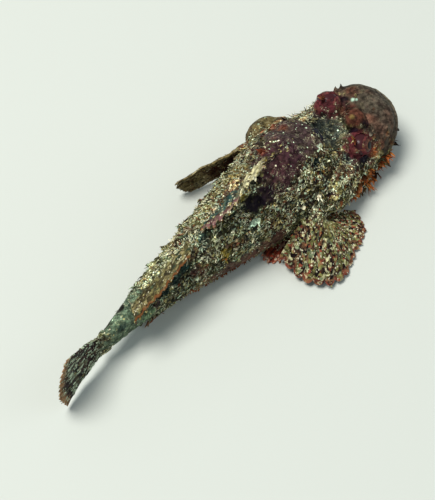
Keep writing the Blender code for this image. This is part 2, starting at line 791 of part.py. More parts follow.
def pectoral_root(side, u):
    station = PECTORAL_STATION[side] + PECTORAL_SLANT * u
    height = PECTORAL_LOW + (PECTORAL_HIGH - PECTORAL_LOW) * u
    return station, skin_at(station, height, side, 1.0 * MM)


def spread_ray(u, t):
    """The right pectoral: a fan laid out on the floor, from ahead of the root to behind it."""
    station, root = pectoral_root(RIGHT, u)
    aim = FAN_BEARINGS[0] + (FAN_BEARINGS[-1] - FAN_BEARINGS[0]) * u
    length = float(np.interp(aim, FAN_BEARINGS, FAN_LENGTHS)) * MM
    bearing = math.radians(aim - 8 * (1 - t) * (1 - u))
    tip_height = (0.4 + 3.2 * u**2) * MM
    wave = 0.9 * MM * math.sin(9 * u + 2) * t * (1 - t)
    point = fan_point(
        root, length * math.cos(bearing), -length * math.sin(bearing), root.z, tip_height, station, t, 1.5
    )
    point.z += wave
    return point


def swept_ray(u, t):
    """The left pectoral: folded back along the flank, its upper rays curled in over the lower."""
    station, root = pectoral_root(LEFT, u)
    bearing = math.radians(SWEPT_BEARING - 4 * u - 3 * t * (1 - u))
    length = SWEPT_LENGTH + SWEPT_MORE * math.sin(math.pi * min(1, 0.12 + 0.5 * u))
    tip_height = FLOOR_TIP + 13 * MM * u**1.2
    return fan_point(
        root, -length * math.cos(bearing), length * math.sin(bearing), root.z, tip_height, station, t, 1.2
    )


def make_pectoral(name, side, ray, model, tools):
    points, thick = fin_grid(PECTORAL_RAYS, ray, 7, 1.5 * MM, 0.07)
    fin = sheet(name, model, points, thick)
    middle = skin_at(pectoral_root(side, 0.5)[0], 13 * MM, side, 0.6 * MM)
    axis = Vector(pectoral_root(side, 1)[1] - pectoral_root(side, 0)[1])
    lobe = ellipsoid("lobe", tools, middle, PECTORAL_LOBE, axis, 14, 10)
    for vertex in lobe.data.vertices:
        vertex.co.z = max(vertex.co.z, 0.6 * MM)
    apply_boolean(fin, "UNION", tools)
    keep_surface(fin)
    trim_to_body(fin, tools, 30 * MM, 110 * MM)
    finish_node(fin, "fin")
    return fin


PELVIC_STATION, PELVIC_BASE = 60 * MM, 3 * MM  # its first ray, and how far the roots spread
PELVIC_SIDE, PELVIC_HEIGHT, PELVIC_TIP = 10.5 * MM, 1.6 * MM, 0.6 * MM
PELVIC_LENGTH, PELVIC_MORE = 17 * MM, 9 * MM


def pelvic_ray(side):
    def ray(u, t):
        station = PELVIC_STATION + PELVIC_BASE * u
        root = place(station, side * PELVIC_SIDE, PELVIC_HEIGHT)
        bearing = math.radians(32 - 24 * u)
        length = PELVIC_LENGTH + PELVIC_MORE * math.sin(math.pi * (0.18 + 0.55 * u))
        forward, out = -length * math.cos(bearing), side * length * math.sin(bearing)
        return fan_point(root, forward, out, PELVIC_HEIGHT, PELVIC_TIP, station, t, 1)

    return ray


TAIL_ROOT_LOW, TAIL_ROOT_DEPTH = 8.8 * MM, 11.4 * MM
TAIL_SLOPE_LOW, TAIL_SLOPE_SPREAD = -12.5, 47  # degrees, from the lowest ray to the highest


def tail_ray(u, t):
    """The tail fin stands upright, its lowest ray on the floor."""
    root_height = TAIL_ROOT_LOW + TAIL_ROOT_DEPTH * u
    slope = math.radians(TAIL_SLOPE_LOW + TAIL_SLOPE_SPREAD * u)
    length = TAIL_FIN_LENGTH * (0.9 + 0.1 * math.sin(math.pi * u))
    turn = math.radians(1 + 6 * t)
    run = length * t * math.cos(slope)
    side = -run * math.sin(turn)
    start = place(STANDARD_LENGTH + GAP, 0, 0)
    flat = turned(STANDARD_LENGTH, -run * math.cos(turn), side, 0)
    height = root_height + length * t * math.sin(slope)
    return Vector((start.x + flat.x, start.y + flat.y, max(height, 0.0)))


def back_height(station):
    return section(station)[1]


SOFT_STATION, SOFT_BASE = 115.5 * MM, 33.5 * MM
SOFT_LENGTH, SOFT_MORE = 13 * MM, 5 * MM
SOFT_BEND = math.radians(88)
ROOT_SUNK = 1.0 * MM  # how far the roots of the back fins reach into the back


def soft_back_ray(u, t):
    """The soft dorsal: it rises straight, then bows over to the right."""
    station = SOFT_STATION + SOFT_BASE * u
    length = SOFT_LENGTH + SOFT_MORE * math.sin(math.pi * (0.15 + 0.7 * u))
    bend = SOFT_BEND
    arc = length * 0.78 / bend
    back = length * t * 0.45
    across = arc * (1 - math.cos(bend * t))
    up = arc * math.sin(bend * t)
    start = place(station, 0, back_height(station) - ROOT_SUNK)
    return start + turned(station, -back, -across, up)


SPINES_STATION, SPINES_BASE = 62 * MM, 43.5 * MM
SPINE_LENGTHS = (9, 13, 16, 17, 17, 16.5, 16, 15, 14, 13, 11.5, 10)  # millimetres


def spiny_back_ray(u, t):
    """The spiny dorsal, half lowered: its spines lean back, and the front ones over to the right."""
    station = SPINES_STATION + SPINES_BASE * u
    last = len(SPINE_LENGTHS) - 1
    length = float(np.interp(u * last, range(last + 1), SPINE_LENGTHS)) * MM
    rise = math.radians(42 - 5 * u)
    lean = math.radians(50 - 42 * u)
    up = length * t * math.sin(rise)
    start = place(station, 0, back_height(station) - ROOT_SUNK)
    return start + turned(station, -length * t * math.cos(rise), -up * math.sin(lean), up * math.cos(lean))


ANAL_STATION, ANAL_BASE = 119 * MM, 17 * MM
ANAL_LENGTH, ANAL_MORE = 9 * MM, 3 * MM
ANAL_TIP = 0.7 * MM


def anal_ray(u, t):
    """The anal fin lies on the floor to the right."""
    station = ANAL_STATION + ANAL_BASE * u
    length = ANAL_LENGTH + ANAL_MORE * math.sin(math.pi * (0.2 + 0.6 * u))
    start_height = section(station)[2] + 0.8 * MM
    start = place(station, -1.0 * MM, start_height)
    out = turned(station, -length * 0.9 * t, -length * 0.2 * t, 0)
    return Vector((start.x + out.x, start.y + out.y, start_height + (ANAL_TIP - start_height) * t))


def make_fins(model, tools):
    make_pectoral("pectoral_fin_left", LEFT, swept_ray, model, tools)
    make_pectoral("pectoral_fin_right", RIGHT, spread_ray, model, tools)
    for name, side in SIDES:
        points, thick = fin_grid(6, pelvic_ray(side), 6, 0.7 * MM, 0.06)
        fin = sheet(f"pelvic_fin_{name}", model, points, thick)
        trim_to_body(fin, tools, 45 * MM, 120 * MM)
        finish_node(fin, "fin")
    points, thick = fin_grid(13, tail_ray, 8, 1.9 * MM, 0.05)
    finish_node(sheet("tail_fin", model, points, thick), "tail")
    points, thick = fin_grid(12, spiny_back_ray, 6, 0.9 * MM, 0.34, 0.75 * MM)
    fin = sheet("dorsal_fin_spines", model, points, thick)
    trim_to_body(fin, tools, 45 * MM, 135 * MM)
    finish_node(fin, "fin")
    points, thick = fin_grid(10, soft_back_ray, 6, 0.8 * MM, 0.1)
    fin = sheet("dorsal_fin_soft", model, points, thick)
    trim_to_body(fin, tools, 100 * MM, STANDARD_LENGTH)
    finish_node(fin, "fin")
    points, thick = fin_grid(8, anal_ray, 5, 0.7 * MM, 0.1)
    fin = sheet("anal_fin", model, points, thick)
    trim_to_body(fin, tools, 105 * MM, STANDARD_LENGTH)
    finish_node(fin, "fin")


def make_trunk(model, tools):
    lengths = (
        ("shoulders", HEAD_END + GAP, TRUNK_END, SHOULDER_FLAPS),
        ("rear_body", TRUNK_END + GAP, VENT_END, REAR_FLAPS),
        ("tail_stalk", VENT_END + GAP, STANDARD_LENGTH, ()),
    )
    for name, start, end, flaps in lengths:
        length = body_length(name, model, start, end, 4.4 * MM)
        grow_flaps(tools, flaps)
        apply_boolean(length, "UNION", tools)
        keep_surface(length)
        finish_node(length, "skin")


def main():
    for old in list(bpy.data.objects):
        bpy.data.objects.remove(old)
    model = new_collection("bearded_scorpionfish")
    tools = new_collection("cutters_and_parts")
    make_head(model, tools)
    make_eyes(model)
    for name, side in SIDES:
        make_gill_cover(f"gill_cover_{name}", side, model, tools)
    make_trunk(model, tools)
    make_fins(model, tools)


main()
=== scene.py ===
import math

import bmesh
import bpy
import numpy as np
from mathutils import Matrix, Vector
from mathutils.bvhtree import BVHTree


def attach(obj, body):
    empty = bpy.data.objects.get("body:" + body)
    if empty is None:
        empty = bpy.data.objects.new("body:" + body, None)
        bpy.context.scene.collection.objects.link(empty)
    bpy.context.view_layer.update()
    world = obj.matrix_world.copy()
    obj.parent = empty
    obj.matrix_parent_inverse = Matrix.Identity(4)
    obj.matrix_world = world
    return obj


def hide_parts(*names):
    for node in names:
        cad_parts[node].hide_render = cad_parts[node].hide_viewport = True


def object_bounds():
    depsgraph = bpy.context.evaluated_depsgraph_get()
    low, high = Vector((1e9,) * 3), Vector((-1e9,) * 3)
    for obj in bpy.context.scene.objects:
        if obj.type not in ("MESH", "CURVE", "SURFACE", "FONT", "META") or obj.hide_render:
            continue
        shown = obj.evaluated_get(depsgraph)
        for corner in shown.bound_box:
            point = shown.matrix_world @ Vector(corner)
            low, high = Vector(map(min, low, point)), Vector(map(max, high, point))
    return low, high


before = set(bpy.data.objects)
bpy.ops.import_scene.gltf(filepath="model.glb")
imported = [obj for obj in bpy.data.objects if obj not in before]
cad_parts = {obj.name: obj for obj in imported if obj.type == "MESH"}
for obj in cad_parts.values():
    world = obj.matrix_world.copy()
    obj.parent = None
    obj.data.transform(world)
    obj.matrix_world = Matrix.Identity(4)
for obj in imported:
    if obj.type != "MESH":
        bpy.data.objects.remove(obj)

mm = 0.001
cadLow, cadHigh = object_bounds()
keepLow, keepHigh = np.array(cadLow) + 0.1 * mm, np.array(cadHigh) - 0.1 * mm
keepLow[2] = 0.05 * mm
left, right = 1, -1
bothSides = (("left", left), ("right", right))
dice = np.random.default_rng(23)
print("frame loaded")


# The bent line that the fish is built along. A station is how far back from the jaw, in mm. The head's turn
# fades out from one station over some length, and the tail's comes in likewise.
spine = {
    "headYaw": -2, "headFrom": 30, "headOver": 50, "tailYaw": 6, "tailFrom": 85, "tailOver": 85,
    "originStation": 75, "length": 166,
}


def ease(x):
    x = np.clip(x, 0, 1)
    return x * x * (3 - 2 * x)


def heading(station):
    toHead = 1 - ease((station - spine["headFrom"]) / spine["headOver"])
    toTail = ease((station - spine["tailFrom"]) / spine["tailOver"])
    return np.radians(spine["headYaw"] * toHead + spine["tailYaw"] * toTail)


spineStations = np.arange(-30, 261, 1.0)
spineTurns = heading(spineStations)
spineWays = np.stack([np.cos(spineTurns), np.sin(spineTurns)], axis=1)
spineRun = np.vstack([[0, 0], np.cumsum(-(spineWays[1:] + spineWays[:-1]) / 2, axis=0)])
spineRun -= [np.interp(spine["originStation"], spineStations, spineRun[:, i]) for i in (0, 1)]


def spinePoint(station):
    x = np.interp(station, spineStations, spineRun[:, 0])
    y = np.interp(station, spineStations, spineRun[:, 1])
    return np.stack([x, y], axis=-1)


def place(station, side, up):
    # millimetres along the fish, to its left and up, as a point in metres
    turn = heading(station)
    middle = spinePoint(station)
    x = middle[..., 0] - np.sin(turn) * side
    y = middle[..., 1] + np.cos(turn) * side
    return np.stack([x, y, np.broadcast_to(up, np.shape(x))], axis=-1) * mm


def wayTo(station, forward, side, up):
    turn = heading(station)
    x = np.cos(turn) * forward - np.sin(turn) * side
    y = np.sin(turn) * forward + np.cos(turn) * side
    return np.stack([x, y, np.broadcast_to(up, np.shape(x))], axis=-1)


def alongFish(points):
    # the station, side and height of points, in mm
    points = np.asarray(points) / mm
    station = spine["originStation"] - points[:, 0]
    for _ in range(4):
        turn = heading(station)
        off = points[:, :2] - spinePoint(station)
        station = station - (off[:, 0] * np.cos(turn) + off[:, 1] * np.sin(turn))
    turn = heading(station)
    off = points[:, :2] - spinePoint(station)
    side = -off[:, 0] * np.sin(turn) + off[:, 1] * np.cos(turn)
    return station, side, points[:, 2]


# Working with objects

def deselectAll():
    if bpy.context.object and bpy.context.object.mode != "OBJECT":
        bpy.ops.object.mode_set(mode="OBJECT")
    bpy.ops.object.select_all(action="DESELECT")


def pick(*things):
    deselectAll()
    for thing in things:
        thing.select_set(True)
    bpy.context.view_layer.objects.active = things[0]


def applyModifiers(thing):
    pick(thing)
    for step in list(thing.modifiers):
        bpy.ops.object.modifier_apply(modifier=step.name)


def editAll():
    bpy.ops.object.mode_set(mode="EDIT")
    bpy.ops.mesh.select_all(action="SELECT")


def nameNew(name):
    made = bpy.context.object
    made.name = name
    made.data.name = name
    return made


def readPoints(thing, kind="co"):
    spots = np.zeros(len(thing.data.vertices) * 3, np.float32)
    thing.data.vertices.foreach_get(kind, spots)
    return spots.reshape(-1, 3).astype(float)


def writePoints(thing, spots):
    thing.data.vertices.foreach_set("co", np.asarray(spots, np.float32).ravel())
    thing.data.update()


def writeValues(thing, name, kind, values):
    field = thing.data.attributes.new(name, kind, "POINT")
    field.data.foreach_set("value" if kind == "FLOAT" else "vector", np.asarray(values, np.float32).ravel())


def writeUv(thing, name, u, v):
    thing.data.uv_layers.new(name=name)
    corners = np.zeros(len(thing.data.loops), np.int32)
    thing.data.loops.foreach_get("vertex_index", corners)
    pairs = np.stack([u[corners], v[corners]], axis=1)
    thing.data.uv_layers[name].data.foreach_set("uv", pairs.astype(np.float32).ravel())


def surfaceTree(thing):
    return BVHTree.FromPolygons(
        [tuple(spot) for spot in readPoints(thing)], [tuple(face.vertices) for face in thing.data.polygons]
    )


def triangles(thing):
    return sum(len(face.vertices) - 2 for face in thing.data.polygons)


def smoothShade(thing, angle):
    pick(thing)
    bpy.ops.object.shade_smooth_by_angle(angle=math.radians(angle))


def turnTo(thing, centre, way):
    # stands a piece modelled along Z on its centre, pointing along a way
    turn = np.array(Vector(way).normalized().to_track_quat("Z", "Y").to_matrix())
    writePoints(thing, readPoints(thing) @ turn.T + np.asarray(centre))


def unit(ways):
    ways = np.asarray(ways, float)
    return ways / np.maximum(np.linalg.norm(ways, axis=-1, keepdims=True), 1e-9)


# Noise for shapes: smooth values from 0 to 1, and how far it is to the nearest of scattered points

def scramble(cells, seed):
    # a chance value from 0 to 1 for each cell: large odd numbers mix its place, and shifts mix the bits
    x = cells[..., 0].astype(np.uint32) * np.uint32(374761393)
    y = cells[..., 1].astype(np.uint32) * np.uint32(668265263)
    z = cells[..., 2].astype(np.uint32) * np.uint32(2147483647)
    mixed = x + y + z + np.uint32(seed * 1274126177 % 4294967296)
    mixed = (mixed ^ (mixed >> np.uint32(13))) * np.uint32(1103515245)
    mixed = mixed ^ (mixed >> np.uint32(16))
    return (mixed & np.uint32(65535)) / 65535.0


def lumps(points, size, seed):
    grid = np.asarray(points) / size + 1000
    cell = np.floor(grid).astype(np.int64)
    part = grid - cell
    part = part * part * (3 - 2 * part)
    total = np.zeros(len(grid))
    for dx in (0, 1):
        for dy in (0, 1):
            for dz in (0, 1):
                weight = np.abs(1 - dx - part[:, 0]) * np.abs(1 - dy - part[:, 1]) * np.abs(1 - dz - part[:, 2])
                total += weight * scramble(cell + [dx, dy, dz], seed)
    return total


def pebbles(points, size, seed):
    grid = np.asarray(points) / size + 1000
    cell = np.floor(grid).astype(np.int64)
    nearest = np.full(len(grid), 9.0)
    for dx in (-1, 0, 1):
        for dy in (-1, 0, 1):
            for dz in (-1, 0, 1):
                here = cell + [dx, dy, dz]
                centre = here + np.stack([scramble(here, seed + k) for k in (0, 1, 2)], axis=1)
                nearest = np.minimum(nearest, np.linalg.norm(grid - centre, axis=1))
    return nearest


# Eyes: where they sit, how far the lids close over them, and how far each colour reaches from the middle
eyeLook = {
    "centre": {left: (23.4, 11.8, 27.5), right: (27.2, -12.4, 25.7)},
    "way": (0.42, 0.78, 0.42), "radius": 4.9, "lidAhead": 3.45, "lidRadius": 3.3, "lidThick": 0.95,
    "pupil": 0.945, "ring": 0.925, "iris": 0.70, "bulge": 0.03, "bulgeFrom": 0.72, "bulgeOver": 0.25,
}


def eyePlace(side):
    station, across, height = eyeLook["centre"][side]
    forward, out, up = eyeLook["way"]
    return place(station, across, height), unit(wayTo(station, forward, side * out, up))


# Skin: the frame's flesh nodes and a few added folds, fused into one surface and sculpted
bodyLengths = ("shoulders", "rear_body", "tail_stalk")
skinLook = {
    "flesh": ("head", "lower_jaw", "gill_cover_left", "gill_cover_right", *bodyLengths),
    "push": 0.6,  # the front end of each length of the body is pushed into what is ahead by this much
    "coverSink": 0.4,  # the gill covers settle onto the cheek by this much
    "jawDrop": 0.35,  # and the jaw drops by this, so that the line of the mouth stays open
    "voxel": 0.00054,
    "soften": 5,
    # added masses: the base of each pectoral fin, the hump's brow, the lump on the snout, the left gill
    "lobes": (
        # side, station, across, height, radii, and the way that its long axis points: ahead, out, up
        (left, 58.3, 21.2, 12.5, (2.7, 3.0, 10.2), (-4.5, 1.5, 17)),
        (right, 58.3, 21.2, 12.5, (2.7, 3.0, 10.2), (-4.5, 1.5, 17)),
        (left, 50.3, 1, 34.6, (9.2, 13.5, 7.6), (0, 0, 1)),
        (left, 21.3, -2.8, 28.2, (4.8, 5.6, 4.8), (0, 0, 1)),
        (left, 51, 22.8, 19.5, (9.0, 5.6, 8.0), (0, 0, 1)),
    ),
    # how high and how wide the folds, knobs and grains of the skin are, in mm, and how their places are warped
    "folds": (1.3, 7.0), "rough": (1.0, 2.7), "fine": (0.5, 1.25), "wart": (1.0, 3.1), "pit": (0.9, 4.6),
    "wartReach": 0.45, "wartPower": 1.4, "pitReach": 0.36, "warpSize": 5, "warp": 4, "sink": 0.15,
}


def fleshCopy(name):
    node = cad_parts[name]
    copy = bpy.data.objects.new(name + "Flesh", node.data.copy())
    bpy.context.collection.objects.link(copy)
    pick(copy)
    editAll()
    bpy.ops.mesh.remove_doubles(threshold=0.000001)
    bpy.ops.object.mode_set(mode="OBJECT")
    spots = readPoints(copy)
    station, side, _ = alongFish(spots)
    if name in bodyLengths:
        front = station < station.min() + 0.08
        spots[front] += wayTo(station[front], 1, 0, 0) * skinLook["push"] * mm
    if name.startswith("gill_cover"):
        spots -= wayTo(station, 0, np.sign(side), 0) * skinLook["coverSink"] * mm
    if name == "lower_jaw":
        spots[:, 2] = np.maximum(spots[:, 2] - skinLook["jawDrop"] * mm, 0.0)
    writePoints(copy, spots)
    return copy


def eyelid(side):
    centre, way = eyePlace(side)
    deselectAll()
    bpy.ops.mesh.primitive_torus_add(
        major_segments=48, minor_segments=14,
        major_radius=eyeLook["lidRadius"] * mm, minor_radius=eyeLook["lidThick"] * mm,
    )
    lid = nameNew("eyelid")
    turnTo(lid, centre + way * eyeLook["lidAhead"] * mm, way)
    return lid


def lobe(side, station, across, height, radii, lean):
    deselectAll()
    bpy.ops.mesh.primitive_uv_sphere_add(segments=32, ring_count=20, radius=mm)
    made = nameNew("lobe")
    writePoints(made, readPoints(made) * radii)
    ahead, out, up = lean
    turnTo(made, place(station, side * across, height), wayTo(station, ahead, side * out, up))
    return made


def keepLargest(thing):
    # drops the loose scraps, such as walls sealed inside
    form = bmesh.new()
    form.from_mesh(thing.data)
    seen, groups = set(), []
    for start in form.verts:
        if start in seen:
            continue
        group, waiting = [], [start]
        seen.add(start)
        while waiting:
            spot = waiting.pop()
            group.append(spot)
            for edge in spot.link_edges:
                other = edge.other_vert(spot)
                if other not in seen:
                    seen.add(other)
                    waiting.append(other)
        groups.append(group)
    groups.sort(key=len, reverse=True)
    bmesh.ops.delete(form, geom=[spot for group in groups[1:] for spot in group], context="VERTS")
    form.to_mesh(thing.data)
    form.free()


# Smooth parts of the skin: station, side, height, radius and how much shagginess is left there. The gill
# cover, the hump and the back come first, then the lump and the occiput, then the belt along the belly's edge.
smoothParts = (
    (50, 23, 21, 15, 0.2), (54, 2, 43, 15, 0.25), (68, -4, 46, 12, 0.3), (84, -9, 38, 8, 0.35),
    (21.5, -3, 32, 7, 0.4), (33, 1, 26, 12, 0.62),
    (80, -16.5, 12.5, 7.5, 0.08), (88, -14.8, 10.5, 8.5, 0.06), (97, -13.1, 9.5, 8.5, 0.06),
    (106, -11.8, 9.5, 8, 0.08), (114, -10.6, 10, 6, 0.15),
)
# Where the muzzle's, stalk's, belly's and lids' calm starts, over how much it fades, and its strength
calmLook = {
    "muzzle": (13, 9, 0.86), "stalk": (138, 14, 0.6), "belly": (2, 5, 0.85), "lids": (6.4, 2.5, 0.85),
    "least": 0.1, "core": 0.6, "rim": 0.5,
}


def calmAt(spots):
    # 1 where the skin is shaggy, less on the muzzle, stalk, belly, lids and smooth parts
    station, _, up = alongFish(spots)

    def grows(key, value):
        start, over, _ = calmLook[key]
        return ease((value - start) / over)

    strength = {key: calmLook[key][2] for key in ("muzzle", "stalk", "belly", "lids")}
    calm = 1 - strength["muzzle"] * (1 - grows("muzzle", station)) - strength["stalk"] * grows("stalk", station)
    calm = np.clip(calm, calmLook["least"], 1) * (1 - strength["belly"] * (1 - grows("belly", up)))
    for _, eye in bothSides:
        away = np.linalg.norm(spots - eyePlace(eye)[0], axis=1) / mm
        calm = calm * (1 - strength["lids"] * (1 - grows("lids", away)))
    for station, side, height, radius, shaggy in smoothParts:
        away = np.linalg.norm(spots - place(station, side, height), axis=1) / mm
        calm = calm * (1 - (1 - shaggy) * (1 - ease((away / radius - calmLook["core"]) / calmLook["rim"])))
    return calm


# The mouth: a groove between two full lips, from the front of the muzzle down and back to its corners
mouthLook = {
    "front": 21.4, "slope": 0.62, "corner": 15.5, "ends": 4, "half": 1.1, "deep": 1.4,
    "lip": 0.65, "lipFrom": 0.5, "lipGrows": 0.9, "lipTo": 1.5, "lipFades": 2.0,
}


def mouthAt(spots):
    look = mouthLook
    station, _, up = alongFish(spots)
    away = np.abs(up - look["front"] + look["slope"] * station)
    groove = look["deep"] * (1 - ease(away / look["half"]))
    lips = look["lip"] * ease((away - look["lipFrom"]) / look["lipGrows"])
    lips = lips * (1 - ease((away - look["lipTo"]) / look["lipFades"]))
    return (lips - groove) * (1 - ease((station - look["corner"]) / look["ends"]))


def sculptSkin(skin):
    spots, ways = readPoints(skin), readPoints(skin, "normal")
    calm = calmAt(spots)
    shift = np.stack([lumps(spots, skinLook["warpSize"] * mm, k) for k in (31, 32, 33)], axis=1) - 0.5
    warped = spots + shift * skinLook["warp"] * mm
    raised = np.zeros(len(spots))
    for key, seed, where in (("folds", 1, warped), ("rough", 2, warped), ("fine", 3, spots)):
        high, wide = skinLook[key]
        raised += high * (lumps(where, wide * mm, seed) - 0.5)
    high, wide = skinLook["wart"]
    warts = np.clip(1 - pebbles(warped, wide * mm, 7) / skinLook["wartReach"], 0, 1)
    raised += high * warts ** skinLook["wartPower"]
    high, wide = skinLook["pit"]
    raised -= high * np.clip(1 - pebbles(warped, wide * mm, 17) / skinLook["pitReach"], 0, 1)
    raised = raised * calm + mouthAt(spots)
    moved = spots + ways * (raised - skinLook["sink"])[:, None] * mm
    writePoints(skin, np.clip(moved, keepLow, keepHigh))
    writeValues(skin, "raised", "FLOAT", raised)


def makeSkin():
    copies = [fleshCopy(name) for name in skinLook["flesh"]]
    copies += [eyelid(side) for _, side in bothSides]
    copies += [lobe(*look) for look in skinLook["lobes"]]
    pick(*copies)
    bpy.ops.object.join()
    skin = nameNew("skin")
    step = skin.modifiers.new("fuse", "REMESH")
    step.mode = "VOXEL"
    step.voxel_size = skinLook["voxel"]
    step = skin.modifiers.new("soften", "SMOOTH")
    step.factor = 0.5
    step.iterations = skinLook["soften"]
    applyModifiers(skin)
    keepLargest(skin)
    sculptSkin(skin)
    smoothShade(skin, 80)
    return skin


skin = makeSkin()
skinTree = surfaceTree(skin)
print("skin:", triangles(skin), "triangles")


def skinAt(station, height, side):
    # the skin at a place on one side of the fish, with its normal
    probe = Vector(place(station, side * 40.0, height))
    hit, normal, _, _ = skinTree.ray_cast(probe, Vector(wayTo(station, 0, -side, 0)))
    if hit is None:
        hit, normal, _, _ = skinTree.find_nearest(probe)
    return np.array(hit), np.array(normal)


def skinNear(station, side, height):
    hit, normal, _, _ = skinTree.find_nearest(Vector(place(station, side, height)))
    return np.array(hit), np.array(normal)


# The small forms of the coat. Each is modelled once, one unit wide and one long, and then copied.
formLook = {
    "leaf": {"flat": 0.26, "rings": ((0.28, 1.35), (0.55, 1.25), (0.80, 0.80))},
    "strand": {"flat": 0.7, "rings": ((0.2, 0.95), (0.4, 0.85), (0.6, 0.7), (0.8, 0.5))},
    "plate": {"thick": 0.16, "crown": 0.13},
}


def takeForm(form):
    bpy.ops.mesh.select_all(action="SELECT")
    bpy.ops.mesh.normals_make_consistent(inside=False)
    bpy.ops.object.mode_set(mode="OBJECT")
    shape = readPoints(form), [tuple(face.vertices) for face in form.data.polygons]
    bpy.data.objects.remove(form)
    return shape


def taperedForm(look):
    # a flattened stem drawn out ring by ring to a point
    deselectAll()
    bpy.ops.mesh.primitive_circle_add(vertices=4, radius=0.5, fill_type="NGON")
    form = nameNew("taperedForm")
    editAll()
    bpy.ops.transform.resize(value=(1, look["flat"], 1), center_override=(0, 0, 0))
    height, width = 0.0, 1.0
    for nextHeight, nextWidth in look["rings"]:
        bpy.ops.mesh.extrude_region_move(TRANSFORM_OT_translate={"value": (0, 0, nextHeight - height)})
        spread = nextWidth / width
        bpy.ops.transform.resize(value=(spread, spread, 1), center_override=(0, 0, nextHeight))
        height, width = nextHeight, nextWidth
    bpy.ops.mesh.extrude_region_move(TRANSFORM_OT_translate={"value": (0, 0, 1 - height)})
    bpy.ops.mesh.merge(type="CENTER")
    return takeForm(form)


def plateForm(look):
    # a six-sided plate with a low crown
    deselectAll()
    bpy.ops.mesh.primitive_circle_add(vertices=6, radius=0.5, fill_type="NGON")
    form = nameNew("plateForm")
    editAll()
    bpy.ops.mesh.extrude_region_move(TRANSFORM_OT_translate={"value": (0, 0, look["thick"])})
    bpy.ops.mesh.poke(offset=look["crown"])
    return takeForm(form)


leafShape, strandShape = taperedForm(formLook["leaf"]), taperedForm(formLook["strand"])
plateShape = plateForm(formLook["plate"])


class Coat:
    # gathers copies of the small forms, then makes them one mesh
    def __init__(self):
        self.spots, self.faces, self.roots, self.notes, self.count = [], [], [], [], 0

    def grow(self, shape, roots, ways, breadths, lengths, widths, curls=0.0, tints=None, patchRoots=None):
        # each copy grows from its root along its way, with its breadth across
        points, faces = shape
        roots, ways = np.atleast_2d(roots), unit(np.atleast_2d(ways))
        lifts = unit(np.cross(ways, np.atleast_2d(breadths)))
        breadths = np.cross(lifts, ways)
        count = len(roots)
        lengths, widths, curls = (np.broadcast_to(v, count)[:, None, None] for v in (lengths, widths, curls))
        x, y, z = (points[None, :, k, None] for k in (0, 1, 2))
        laid = roots[:, None] + ways[:, None] * z * lengths + breadths[:, None] * x * widths
        laid = laid + lifts[:, None] * (y * widths + curls * lengths * z * z)
        tints = dice.random(count) if tints is None else np.broadcast_to(tints, count)
        notes = np.zeros((count, len(points), 3))
        notes[:, :, 0], notes[:, :, 1] = tints[:, None], points[None, :, 2]
        held = roots if patchRoots is None else np.broadcast_to(patchRoots, roots.shape)
        self.spots.append(laid.reshape(-1, 3))
        self.roots.append(np.repeat(held, len(points), axis=0))
        self.notes.append(notes.reshape(-1, 3))
        for _ in range(count):
            self.faces += [tuple(i + self.count for i in face) for face in faces]
            self.count += len(points)

    def make(self, name):
        spots, roots = np.clip(np.vstack(self.spots), keepLow, keepHigh), np.vstack(self.roots)
        mesh = bpy.data.meshes.new(name)
        mesh.from_pydata(spots.tolist(), [], self.faces)
        made = bpy.data.objects.new(name, mesh)
        bpy.context.collection.objects.link(made)
        writeValues(made, "rootPlace", "FLOAT_VECTOR", roots)
        writeValues(made, "tuft", "FLOAT_VECTOR", np.vstack(self.notes))  # its tint, and how near its tip
        bakeMap(made, spots, roots)
        smoothShade(made, 75)
        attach(made, "root")
        return made


# The unwrap goes round the fish by along it, and each small form is a patch at its root
bakeLook = {"patch": 0.003, "middle": 14, "longest": 215, "reach": 8, "inset": 0.01}


def bakeMap(made, spots, roots):
    station, side, up = alongFish(roots)
    across = np.arctan2(side, up - bakeLook["middle"]) / (2 * math.pi) + 0.5
    along = np.clip(station / bakeLook["longest"], 0, 1)
    offset = np.clip((spots - roots) / (bakeLook["reach"] * mm), -1, 1) * bakeLook["patch"] / 4
    inset, share = bakeLook["inset"], 1 - 2 * bakeLook["inset"]
    u = np.clip(across * share + inset + offset[:, 1] + offset[:, 2], 0, 1)
    v = np.clip(along * share + inset + offset[:, 0] - offset[:, 2], 0, 1)
    writeUv(made, "OFBake", u, v)


# Flaps and curled threads of skin all over the fish: how many, how long and wide they are in mm, how much
# they stand up and curl, how far they swerve from pointing back, and the size of their clusters
leafy = {"stand": (0.25, 1.1), "curl": (-0.5, -0.1), "swerve": 0.5, "cluster": 8}
flapLook = {
    "skin_flaps": (
        {"count": 4300, "length": (0.7, 1.7), "width": (0.42, 0.8), **leafy},
        {"count": 330, "length": (1.9, 3.4), "width": (0.7, 1.4), **leafy},
    ),
    "skin_curls": (
        {"count": 5000, "length": (1.2, 2.8), "width": (0.24, 0.46), "stand": (0.12, 0.6), "curl": (-0.4, 0.2),
         "swerve": 1.5, "cluster": 6},
    ),
}
# Flaps grow where the skin is shaggier than this and higher than that, most of them in clusters
flapGround = {"shaggy": 0.36, "above": 2.5, "over": 4, "between": 0.1, "clusterFrom": 0.48, "sunk": 0.15}


